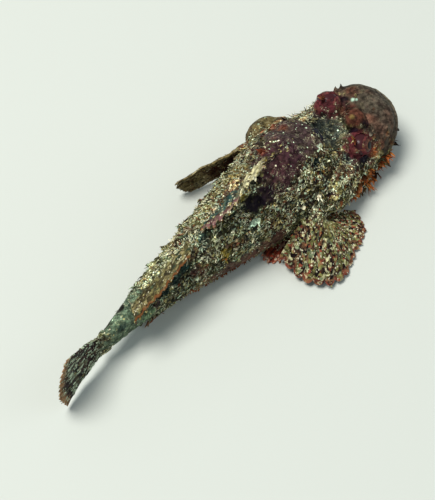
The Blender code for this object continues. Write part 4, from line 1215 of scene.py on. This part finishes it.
patches = (
    # station, side, height, radius, softness, colour, strength
    # the ground of each region: occiput, hump, gill cover, back, belly edge, stalk
    (33, 1, 26, 13, 0.6, (20, 30, 25), 0.84),
    (53, 3, 42, 20, 0.6, (36, 20, 24), 0.88),
    (69, -5, 45, 15, 0.5, (38, 15, 20), 0.88),
    (50, 23, 22, 13, 0.5, (80, 62, 26), 0.88),
    (61.7, 21, 20, 5.5, 0.7, (120, 34, 20), 0.75),
    (83, 5.5, 43, 8, 0.7, (270, 210, 60), 0.55),
    (94, 6, 40, 8, 0.7, (240, 210, 70), 0.5),
    (106, 5, 36, 8, 0.7, (200, 210, 80), 0.5),
    (128, 6, 24, 12, 0.6, (180, 190, 75), 0.55),
    (112.7, -3.4, 33.9, 5.5, 0.7, (50, 105, 85), 0.65),
    (121, -2, 31, 5, 0.7, (50, 105, 85), 0.65),
    (76, -14, 28, 7, 0.7, (100, 55, 26), 0.5),
    (80, -16.5, 12.5, 6.5, 0.5, (72, 30, 22), 0.86),
    (87, -15.1, 10.5, 7.5, 0.5, (85, 37, 25), 0.87),
    (95, -13.4, 9.5, 7.5, 0.5, (72, 32, 23), 0.87),
    (103, -12.2, 9.5, 7, 0.5, (60, 27, 21), 0.86),
    (111, -10.8, 9.5, 6, 0.6, (55, 26, 20), 0.82),
    (113.1, -8.1, 27, 4.5, 0.7, (30, 20, 18), 0.7),
    (119.5, -8.5, 21, 5, 0.7, (60, 18, 20), 0.8),
    (153, 0, 16, 19, 0.5, "stalk", 0.85),
    (95, -18, 3, 9, 0.7, (200, 70, 30), 0.5),
    (120, -11, 3, 12, 0.7, (260, 100, 45), 0.5),
    # smaller marks under the specks
    (35.2, -13.3, 24.6, 4.5, 0.7, (18, 40, 38), 0.75),
    (41.9, -16.2, 27.4, 4, 0.7, (50, 30, 16), 0.8),
    (45.7, -18.5, 28.6, 3.6, 0.7, (80, 24, 16), 0.8),
    (49.7, -16.3, 30.3, 4, 0.7, (60, 42, 20), 0.8),
    (46.7, -11.1, 32.4, 3.4, 0.7, (220, 200, 60), 0.6),
    (42.5, 9.5, 30, 3.4, 0.7, (160, 240, 150), 0.6),
    (36.5, 14, 25, 4.5, 0.8, (150, 50, 22), 0.7),
    (43, 17.5, 25, 4.5, 0.8, (130, 45, 22), 0.7),
    (55.2, 18.2, 30.7, 4, 0.8, (200, 60, 22), 0.86),
    (54.8, 13.5, 36.2, 3.8, 0.8, (170, 52, 20), 0.84),
    (53.2, 9, 40, 3.2, 0.8, (120, 42, 20), 0.75),
    (70, 3.4, 47.1, 3.4, 0.7, (120, 30, 18), 0.8),
    (98.4, -12.5, 24.4, 4.2, 0.7, (200, 45, 26), 0.75),
    (104.7, -10.8, 22.8, 4.4, 0.6, (270, 190, 25), 0.82),
    (89, -4.7, 41.7, 3.4, 0.7, (270, 200, 35), 0.82),
    (144, -5, 16, 5.5, 0.6, (150, 230, 120), 0.8),
    (22.6, -17.4, 21.6, 4.6, 0.7, (300, 85, 24), 0.8),
    (30.5, -19.2, 12.3, 4.6, 0.7, (300, 85, 24), 0.8),
    (37.6, -21, 9.1, 4.4, 0.7, (240, 60, 20), 0.8),
    # marks that lie over the specks: the muzzle, the lids, the lump between them and the deepest darks, among
    # them a black blotch on the back and painted shadows round the lump, on the cheek, in front of the hump and
    # beside the soft dorsal
    (5, 0, 21, 24, 0.3, (46, 38, 27), 0.93),
    (12.6, 8.8, 29, 5, 0.9, (75, 30, 18), 0.9),
    (16, -7.5, 29, 4, 0.9, (80, 36, 23), 0.9),
    (8, -11.2, 27.7, 5.5, 0.9, (64, 42, 30), 0.9),
    (14.7, -13.1, 27, 4.5, 0.9, (95, 58, 40), 0.9),
    (7.5, -1.8, 30, 6.5, 0.9, (68, 56, 41), 0.9),
    (23.4, 11.8, 28, 8.4, 0.4, "wine", 0.92),
    (27.2, -12.4, 26, 8.4, 0.4, "wine", 0.92),
    (20.5, 3, 29, 5, 0.6, (70, 20, 14), 0.92),
    (21.6, -3.4, 32, 6.6, 0.5, (56, 18, 11), 0.94),
    (23, -2.9, 32.3, 1.6, 0.8, (150, 100, 30), 0.9),
    # painted shadow: black in the notches round the snout lump, under it and towards both eyes
    (20, -7.8, 29.5, 2.8, 0.5, "black", 0.93),
    (25.2, -6.4, 27.5, 3, 0.5, "black", 0.93),
    (18.2, 7.1, 28.3, 3.2, 0.5, "black", 0.93),
    (15.2, 4.9, 29.2, 1.2, 0.8, (280, 400, 310), 0.91),
    (13.9, 3.7, 29.4, 0.9, 0.8, (220, 320, 250), 0.91),
    # painted shade on the shaded side of the right cheek
    (28.5, -17.4, 22, 3.8, 0.6, (8, 8, 16), 0.92),
    # painted shadow in front of the hump, under its brow
    (42.4, -5, 37, 3.6, 0.6, (7, 8, 14), 0.94),
    (42.2, -0.5, 38, 3.8, 0.6, (7, 8, 15), 0.94),
    (42.6, 4.5, 36.5, 3.4, 0.6, (7, 8, 14), 0.93),
    (52.8, -11.3, 36.9, 2.6, 0.6, (8, 24, 24), 0.92),
    (50, -10.3, 36.9, 2.4, 0.6, (8, 24, 24), 0.92),
    (47, -8.2, 39.4, 1.9, 0.6, (420, 500, 400), 0.93),
    (58.5, -18.9, 25.8, 2.2, 0.5, (700, 700, 520), 0.9),
    (80.1, -9.5, 39, 6.5, 0.7, (14, 6, 12), 0.93),
    (86, -8.6, 37.5, 6.6, 0.5, "black", 0.97),
    (88.9, -12.1, 29.3, 3.2, 0.6, (600, 800, 600), 0.93),
    (95, -13, 25.5, 3, 0.6, "dark", 0.9),
    # painted shadow that the soft dorsal casts on the right flank, in the tone pit
    (124, -6.3, 26.5, 4, 0.5, "pit", 0.93),
    (129, -6, 24.5, 4.2, 0.5, "pit", 0.93),
    (135.5, -5.2, 22.5, 3.8, 0.5, "pit", 0.93),
    (141, -4, 22, 3, 0.5, "pit", 0.92),
    (140.8, -6.2, 18.5, 3, 0.6, (30, 12, 14), 0.9),
    (152.6, 3.4, 20.6, 3.2, 0.4, "dark", 0.92),
    (162, 3.5, 19, 3.2, 0.4, "dark", 0.92),
    (158, -2.5, 19, 3.4, 0.6, (12, 22, 18), 0.9),
)
cellTones = (
    (0.0, "umber"), (0.22, "moss"), (0.36, "dark"), (0.50, "olive"),
    (0.60, "teal"), (0.72, "rust"), (0.78, "brown"), (0.90, "straw"),
)


# Clouds of noise in the markings: scale, detail and roughness, then from, to, and what they become
clouds = {
    "ground": (130, 3, 0.6, 0.43, 0.57), "green": (62, 2, 0.5, 0.48, 0.60, 0.0, 0.6),
    "red": (78, 2, 0.5, 0.55, 0.66, 0.0, 0.6), "shadow": (88, 2, 0.5, 0.53, 0.62, 0.0, 0.55),
    "dim": (520, 3, 0.6, 0.5, 0.62, 0.0, 0.8), "crowd": (150, 2, 0.5, 0.38, 0.6, 0.14, 0.6),
    "broken": (380, 2, 0.5, 0.46, 0.56), "ruddy": (135, 3, 0.6, 0.50, 0.62, 0.0, 0.32),
    "mottle": (240, 4, 0.65, 0.50, 0.62, 0.0, 0.75), "grain": (460, 4, 0.7, 0.32, 0.68, 0.48, 2.4),
    "rough": (500, 2, 0.5, 0.3, 0.7, 0.45, 0.72), "coatGrain": (900, 3, 0.6, 0.3, 0.7, 0.55, 1.4),
    "finGrain": (640, 4, 0.7, 0.3, 0.7, 0.4, 1.6), "finZone": (380, 3, 0.6, 0.32, 0.55, 0.35, 1.0),
}
markLook = {
    "front": 0.022, "rear": -0.03, "cells": 400.0, "cellWarp": 0.0042, "cellShare": 0.55, "ragged": 1.1,
    "calmFrom": 0.8, "overFrom": 0.9,  # patches of this strength calm the specks, and of that lie over them
    "calmShadow": 0.95, "calmMost": 0.88, "muzzle": (0.050, 0.057), "lip": (0.022, 0.008, 0.0, 0.6),
    "darkSpecks": (780.0, 0.5), "paleFades": 1.7, "line": (0.028, 0.010),
    "paleSpecks": ((760.0, 0.38, "cream"), (1200.0, 0.45, "mint"), (980.0, 0.40, "straw")),
}


def markingsGroup():
    # the ground by region, cells, the fish's own patches, then pale and dark specks over all
    look = markLook
    outputs = (("Color", "Color"), ("Rough", "Float"), ("Height", "Float"), ("Calm", "Float"))
    tree, given, result = newGroup("fishMarkings", (("At", "Vector", None), ("Pale", "Float", 1.0)), outputs)
    at = given["At"]
    along, elsewhere = split(tree, at), vectors(tree, "ADD", at, (0.2, 0.3, 0.4))
    redAt, shadowAt = vectors(tree, "ADD", at, (0.5, 0.3, 0.1)), vectors(tree, "ADD", at, (0.7, 0.1, 0.6))
    rear = mapRange(tree, along["X"], look["front"], look["rear"])
    ground = mixColour(tree, rear, "brown", "rearGround")
    deep = mixColour(tree, rear, "umber", "rearDeep")
    warp = scaled(tree, noise(tree, at, 320.0, 3.0, 0.6, "Color"), look["cellWarp"])
    _, chances = cellsOf(tree, vectors(tree, "ADD", at, warp), look["cells"])
    shadow = cloud(tree, shadowAt, clouds["shadow"])
    colour = layered(
        tree, deep, (cloud(tree, at, clouds["ground"]), ground),
        (look["cellShare"], steps(tree, chances[0], cellTones)),
        (cloud(tree, at, clouds["green"]), "algae"),
        (cloud(tree, redAt, clouds["red"]), "ruddy"),
        (shadow, "shadow"),
    )
    ragged = maths(tree, "MULTIPLY_ADD", noise(tree, at, 330, 3), look["ragged"], -look["ragged"] / 2)
    calm, over = times(tree, shadow, look["calmShadow"]), []
    for station, side, height, radius, soft, tone, strength in patches:
        centre = tuple(place(station, side, height))
        values = {"At": at, "Ragged": ragged, "Centre": centre, "Radius": radius * mm, "Soft": soft}
        share = times(tree, useGroup(tree, raggedSpot, values)["Mask"], strength)
        if strength >= look["calmFrom"]:
            calm = maths(tree, "MAXIMUM", calm, share)
        if strength < look["overFrom"]:
            colour = mixColour(tree, share, colour, tone)
        else:
            over.append((share, tone))
    onMuzzle = mapRange(tree, along["X"], *look["muzzle"])
    calm = maths(tree, "MAXIMUM", calm, onMuzzle)
    busy = maths(tree, "SUBTRACT", 1.0, times(tree, calm, look["calmMost"]))
    scale, size = look["darkSpecks"]
    colour = layered(
        tree, colour, (times(tree, cloud(tree, elsewhere, clouds["dim"]), busy), "dark"),
        (speckMask(tree, elsewhere, scale, times(tree, busy, 0.5), size, 0.85), "dark"),
    )
    crowd = cloud(tree, elsewhere, clouds["crowd"])
    pale = times(tree, crowd, maths(tree, "POWER", busy, look["paleFades"]), given["Pale"])
    for scale, size, tone in look["paleSpecks"]:
        colour = mixColour(tree, speckMask(tree, at, scale, pale, size, 0.92), colour, tone)
    # thin pale squiggles, broken up
    line = maths(tree, "ABSOLUTE", maths(tree, "SUBTRACT", noise(tree, at, 560, 1.5, 0.5), 0.5))
    thin, broken = mapRange(tree, line, *look["line"]), cloud(tree, elsewhere, clouds["broken"])
    squiggle = times(tree, thin, broken, busy, 0.85)
    # the strongest patches lie over the specks, and painted shade darkens the muzzle towards the bottom, at the
    # lip, where its surface curves under
    colour = layered(
        tree, colour, (squiggle, "squiggle"), *over,
        (times(tree, onMuzzle, cloud(tree, elsewhere, clouds["ruddy"])), "flush"),
        (times(tree, onMuzzle, cloud(tree, at, clouds["mottle"])), "mottle"),
        (times(tree, onMuzzle, mapRange(tree, along["Z"], *look["lip"])), "dark"),
    )
    feed(tree, result, {
        "Color": shadeBy(tree, colour, cloud(tree, at, clouds["grain"])),
        "Rough": cloud(tree, at, clouds["rough"]),
        "Height": maths(tree, "ADD", noise(tree, at, 1600, 3, 0.6), times(tree, noise(tree, at, 650, 2), 1.4)),
        "Calm": calm,
    })
    return tree


fishMarkings = markingsGroup()


def newMaterial(name):
    material = bpy.data.materials.new(name)
    material.use_nodes = True
    return material, material.node_tree, material.node_tree.nodes["Principled BSDF"]


def objectPlace(tree):
    return tree.nodes.new("ShaderNodeTexCoord").outputs["Object"]


def attribute(tree, name, output):
    return addNode(tree, "ShaderNodeAttribute", attribute_name=name).outputs[output]


def wetSkin(tree, shader, colour, markings, strength=0.45, distance=0.0005):
    values = {"Height": markings["Height"], "Strength": strength, "Distance": distance}
    normal = addNode(tree, "ShaderNodeBump", values).outputs["Normal"]
    rough = markings["Rough"]
    feed(tree, shader, {"Normal": normal, "Base Color": colour, "Roughness": rough, "Specular IOR Level": 0.05})


def skinMaterial():
    material, tree, shader = newMaterial("fishSkin")
    markings = useGroup(tree, fishMarkings, {"At": objectPlace(tree), "Pale": 1.0})
    # painted shade and light: the skin's hollows, creases and mouth groove are darkened and its raised bumps
    # lightened in the colour
    shade = mapRange(tree, attribute(tree, "raised", "Fac"), -0.7, 0.75, 0.12, 1.8)  # hollows are darker
    wetSkin(tree, shader, shadeBy(tree, markings["Color"], shade), markings)
    return material


def coatMaterial(name, look):
    # small forms take the markings of the place they grow from, each with a tint of its own
    material, tree, shader = newMaterial(name)
    parts = split(tree, attribute(tree, "tuft", "Vector"))
    markings = useGroup(tree, fishMarkings, {"At": attribute(tree, "rootPlace", "Vector"), "Pale": 1.2})
    keep = maths(tree, "SUBTRACT", 1.0, times(tree, markings["Calm"], look["calm"]))
    tint = steps(tree, parts["X"], look["tints"])
    colour = mixColour(tree, times(tree, keep, look["share"]), markings["Color"], tint)
    colour = shadeBy(tree, colour, cloud(tree, objectPlace(tree), clouds["coatGrain"]))
    tipped = mapRange(tree, parts["Y"], 0.0, 1.0, look["atRoot"], look["atTip"])
    wetSkin(tree, shader, shadeBy(tree, colour, tipped), markings, 0.2)
    return material


tuftTints = (
    (0.0, "rust"), (0.28, "olive"), (0.45, "brown"), (0.58, "straw"),
    (0.70, "cream"), (0.85, (400, 170, 100)),
)
coatFinish = {
    "flap": {
        "share": 0.6, "calm": 0.9, "atRoot": 0.35, "atTip": 1.4,
        "tints": ((0.0, "dark"), (0.30, "moss"), (0.46, "brown"), (0.58, "straw"),
                  (0.72, "cream"), (0.84, "olive"), (0.91, "rust"), (0.96, "mint")),
    },
    "curl": {
        "share": 0.85, "calm": 0.95, "atRoot": 0.6, "atTip": 1.3,
        "tints": ((0.0, "cream"), (0.24, (850, 880, 620)), (0.34, "straw"), (0.46, "mint"),
                  (0.60, "dark"), (0.76, "teal"), (0.84, "olive"), (0.92, "rust")),
    },
    "scale": {
        "share": 0.4, "calm": 0.9, "atRoot": 0.55, "atTip": 1.6,
        "tints": ((0.0, "dark"), (0.34, "umber"), (0.52, "moss"), (0.66, "teal"),
                  (0.80, "straw"), (0.92, "cream")),
    },
    "beard": {
        "share": 0.92, "calm": 0.0, "atRoot": 0.5, "atTip": 1.3,
        "tints": ((0.0, (340, 85, 18)), (0.20, (460, 150, 30)), (0.40, (260, 60, 16)),
                  (0.55, (100, 38, 18)), (0.80, (500, 300, 150))),
    },
    "tuft": {"share": 0.8, "calm": 0.3, "atRoot": 0.55, "atTip": 1.25, "tints": tuftTints},
    "frill": {"share": 0.75, "calm": 0.0, "atRoot": 0.6, "atTip": 1.2, "tints": tuftTints},
}


def wear(thing, material, slot):
    thing.data.materials.clear()
    thing.data.materials.append(material)


wear(skin, skinMaterial(), "skin")
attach(skin, "root")
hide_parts(*skinLook["flesh"])
coats = (
    (flaps, "flap", "skin"), (curls, "curl", "skin"), (scales, "scale", "skin"), (beard, "beard", "jaw_skin"),
    (tufts, "tuft", "skin"), (finFrills, "frill", "fin"),
)
for piece, finish, slot in coats:
    wear(piece, coatMaterial(finish + "Coat", coatFinish[finish]), slot)


def finMaterial(name, look):
    # ragged cells in rows along the rays, the body's markings near the root and a coloured margin
    material, tree, shader = newMaterial(name)
    at = objectPlace(tree)
    markings = useGroup(tree, fishMarkings, {"At": at, "Pale": 1.0})
    parts = split(tree, addNode(tree, "ShaderNodeUVMap", uv_map="finMap").outputs["UV"])
    ray, reach = parts["X"], parts["Y"]
    rows = {"X": times(tree, ray, look["across"]), "Y": times(tree, reach, look["bars"])}
    warp = scaled(tree, noise(tree, at, 500.0, 3.0, 0.6, "Color"), look["warp"])
    rowsAt = vectors(tree, "ADD", addNode(tree, "ShaderNodeCombineXYZ", rows).outputs[0], warp)
    _, chances = cellsOf(tree, rowsAt, 1.0, 0.8)
    colour = shadeBy(tree, steps(tree, chances[0], look["tones"]), cloud(tree, at, clouds["finGrain"]))
    for first, last, start, end, tone, strength in look["zones"]:
        # a zone from one ray to another and from one reach to another, with soft broken edges
        share = times(
            tree, strength,
            mapRange(tree, ray, first - 0.8, first + 0.8), mapRange(tree, ray, last + 0.8, last - 0.8),
            mapRange(tree, reach, start - 0.1, start + 0.1), mapRange(tree, reach, end + 0.12, end - 0.12),
            cloud(tree, at, clouds["finZone"]),
        )
        colour = mixColour(tree, share, colour, tone)
    betweenRays = mapRange(tree, maths(tree, "PINGPONG", ray, 0.5), 0.14, 0.34, 0, 0.45)
    edge = maths(tree, "MULTIPLY_ADD", noise(tree, at, 420, 3), 0.24, reach)
    margin = mapRange(tree, edge, look["edgeFrom"] + 0.1, look["edgeFrom"] + 0.24, 0, 0.85)
    colour = layered(
        tree, colour, (betweenRays, "dark"), (margin, look["edge"]),
        (speckMask(tree, at, 980.0, look["pale"], 0.42, 0.8), look["speck"]),
        (speckMask(tree, vectors(tree, "ADD", at, (0.3, 0.1, 0.2)), 700.0, 0.42, 0.5, 0.75), "dark"),
        (mapRange(tree, reach, look["blend"], look["blend"] * 0.25), markings["Color"]),
    )
    wetSkin(tree, shader, colour, markings, 0.35, 0.0004)
    return material


plainFin = {"across": 1.2, "bars": 6.0, "warp": 1.2, "zones": (), "pale": 0.2, "speck": "cream", "blend": 0.2}
pelvicFinish = {
    **plainFin, "tones": ((0.0, (360, 60, 30)), (0.4, (200, 35, 22)), (0.66, (700, 400, 280))),
    "across": 1.6, "bars": 11.0, "edge": (440, 100, 50), "edgeFrom": 0.95, "pale": 0.3, "blend": 0.25,
}
finFinish = {
    "pectoral_right": {
        **plainFin,
        "tones": ((0.0, (50, 26, 15)), (0.18, (220, 115, 55)), (0.36, (200, 195, 65)),
                  (0.54, "dark"), (0.70, (560, 540, 300)), (0.82, (180, 220, 120)),
                  (0.93, (260, 65, 35))),
        "across": 3.0, "bars": 22.0, "warp": 1.8, "zones": ((4, 11, 0.1, 0.4, (270, 280, 90), 0.4),),
        "edge": (270, 70, 45), "edgeFrom": 0.92, "pale": 0.42, "blend": 0.16,
    },
    "pectoral_left": {
        **plainFin,
        "tones": ((0.0, (220, 170, 75)), (0.3, (300, 240, 120)), (0.6, (150, 100, 50)),
                  (0.8, (360, 310, 170))),
        # painted shade: the dark maroon zone on the lower rays stands in for the inner face of the folded fin
        # in shade
        "across": 0.9, "bars": 9.0, "zones": ((-1, 11, 0.0, 0.6, (60, 10, 12), 0.92),),
        "edge": (260, 200, 110), "edgeFrom": 0.93, "pale": 0.12,
    },
    "pelvic_right": pelvicFinish,
    "pelvic_left": pelvicFinish,
    "tail": {
        **plainFin,
        "tones": ((0.0, "dark"), (0.26, (60, 36, 30)), (0.48, (30, 20, 19)),
                  (0.58, (460, 540, 380)), (0.76, (85, 65, 40)), (0.88, (150, 160, 100))),
        "across": 1.6, "bars": 17.0, "warp": 0.8,
        "edge": (340, 190, 90), "edgeFrom": 0.88, "pale": 0.44, "speck": "mint", "blend": 0.3,
    },
    "dorsal_soft": {
        **plainFin,
        "tones": ((0.0, (170, 150, 60)), (0.3, (240, 200, 90)), (0.50, (70, 58, 24)),
                  (0.7, (400, 370, 200)), (0.82, (60, 85, 45))),
        "warp": 1.6, "edge": (165, 58, 18), "edgeFrom": 0.84,
    },
    "dorsal_spiny": {
        **plainFin,
        "tones": ((0.0, (100, 75, 45)), (0.25, (200, 160, 80)), (0.5, (50, 34, 28)),
                  (0.68, (340, 290, 160))),
        "warp": 1.4,
        "zones": ((5.4, 13, 0.1, 0.7, (30, 100, 85), 0.8), (5.4, 13, 0.76, 1.2, (200, 85, 95), 0.92),
                  (2.7, 5.2, 0.1, 1.2, (860, 800, 460), 0.96), (-2, 1.8, 0.0, 1.2, "purple", 0.9)),
        "edge": (600, 460, 260), "edgeFrom": 0.98, "pale": 0.28, "blend": 0.12,
    },
    "anal": {
        **plainFin, "tones": ((0.0, (140, 75, 40)), (0.4, (70, 40, 25)), (0.7, (260, 170, 90))),
        "across": 1.0, "edge": (280, 100, 50), "edgeFrom": 0.85, "blend": 0.25,
    },
}
for name, look in finFinish.items():
    wear(bpy.data.objects[name], finMaterial(name + "Fin", look), "tail" if name == "tail" else "fin")


eyeGloss = {"Roughness": 0.3, "Specular IOR Level": 0.12, "Coat Weight": 0.06, "Coat Roughness": 0.12}


def eyeMaterial():
    # a dark glossy pupil in a thin brown ring, and an iris streaked from its middle outwards
    material, tree, shader = newMaterial("eyeBall")
    turn = attribute(tree, "eyeTurn", "Fac")
    streak = mapRange(tree, noise(tree, attribute(tree, "eyeRound", "Vector"), 5.0, 3, 0.6), 0.4, 0.6)
    fleck = mapRange(tree, noise(tree, objectPlace(tree), 1800, 3), 0.42, 0.62)
    iris = mixColour(tree, streak, "irisDark", "irisLight")
    iris = mixColour(tree, times(tree, fleck, 0.6), iris, "irisFleck")
    colour = layered(
        tree, "eyeRim", (mapRange(tree, turn, eyeLook["iris"], 0.8), iris),
        (mapRange(tree, turn, eyeLook["ring"] - 0.01, eyeLook["ring"]), "eyeRing"),
        (mapRange(tree, turn, eyeLook["pupil"] - 0.006, eyeLook["pupil"]), "pupil"),
    )
    feed(tree, shader, {"Base Color": colour, **eyeGloss})
    return material


eyeFinish = eyeMaterial()
for ball in eyes:
    wear(ball, eyeFinish, "eye")
print("materials made")


# Stage, light and camera
stageLook = {
    "size": 6.0, "colour": (600, 630, 585), "roughness": 0.8, "sky": (840, 950, 1000), "skyStrength": 0.32,
}
deselectAll()
bpy.ops.mesh.primitive_plane_add(size=stageLook["size"], location=(0, 0, 0))
floor = nameNew("floor")
material, tree, shader = newMaterial("paleFloor")
feed(tree, shader, {"Base Color": rgba(stageLook["colour"]), "Roughness": stageLook["roughness"]})
floor.data.materials.append(material)

world = bpy.data.worlds.new("softSky")
world.use_nodes = True
sky = {"Color": rgba(stageLook["sky"]), "Strength": stageLook["skyStrength"]}
feed(world.node_tree, world.node_tree.nodes["Background"], sky)
bpy.context.scene.world = world

lamps = (
    # name, place, size, power, colour
    ("keyLamp", (-0.38, 0.36, 1.68), 0.8, 33, (1.0, 0.98, 0.93)),
    ("fillLamp", (0.9, -0.9, 0.9), 1.2, 3, (0.88, 0.96, 1.0)),
)
for name, spot, size, power, colour in lamps:
    deselectAll()
    bpy.ops.object.light_add(type="AREA", location=spot)
    lamp = bpy.context.object
    lamp.name = name
    lamp.data.shape = "DISK"
    lamp.data.size = size
    lamp.data.energy = power
    lamp.data.color = colour
    lamp.rotation_euler = (Vector((0, 0, 0.01)) - Vector(spot)).to_track_quat("-Z", "Y").to_euler()

# The photo looks down on the fish from behind its right side
photo = {
    "width": 435, "height": 500, "azimuth": -43.5, "elevation": 60, "distance": 0.75,
    "pixelsPerMm": 2.31, "originPixel": (257, 222), "sensor": 24,
}


def makeCamera():
    turn, tilt = math.radians(photo["azimuth"]), math.radians(photo["elevation"])
    back = Vector((math.sin(turn) * math.cos(tilt), -math.cos(turn) * math.cos(tilt), math.sin(tilt)))
    rightWay = Vector((math.cos(turn), math.sin(turn), 0))
    upWay = back.cross(rightWay)
    across = (photo["originPixel"][0] - photo["width"] / 2) / photo["pixelsPerMm"] * mm
    raised = (photo["height"] / 2 - photo["originPixel"][1]) / photo["pixelsPerMm"] * mm
    aim = -rightWay * across - upWay * raised
    bpy.ops.object.camera_add(location=aim + back * photo["distance"])
    camera = bpy.context.object
    camera.rotation_euler = back.to_track_quat("Z", "Y").to_euler()
    camera.data.sensor_fit = "VERTICAL"
    camera.data.sensor_height = photo["sensor"]
    camera.data.lens = photo["sensor"] * photo["distance"] / mm * photo["pixelsPerMm"] / photo["height"]
    bpy.context.scene.camera = camera


makeCamera()
bpy.context.scene.view_settings.view_transform = "Standard"
print("stage, light and camera set")
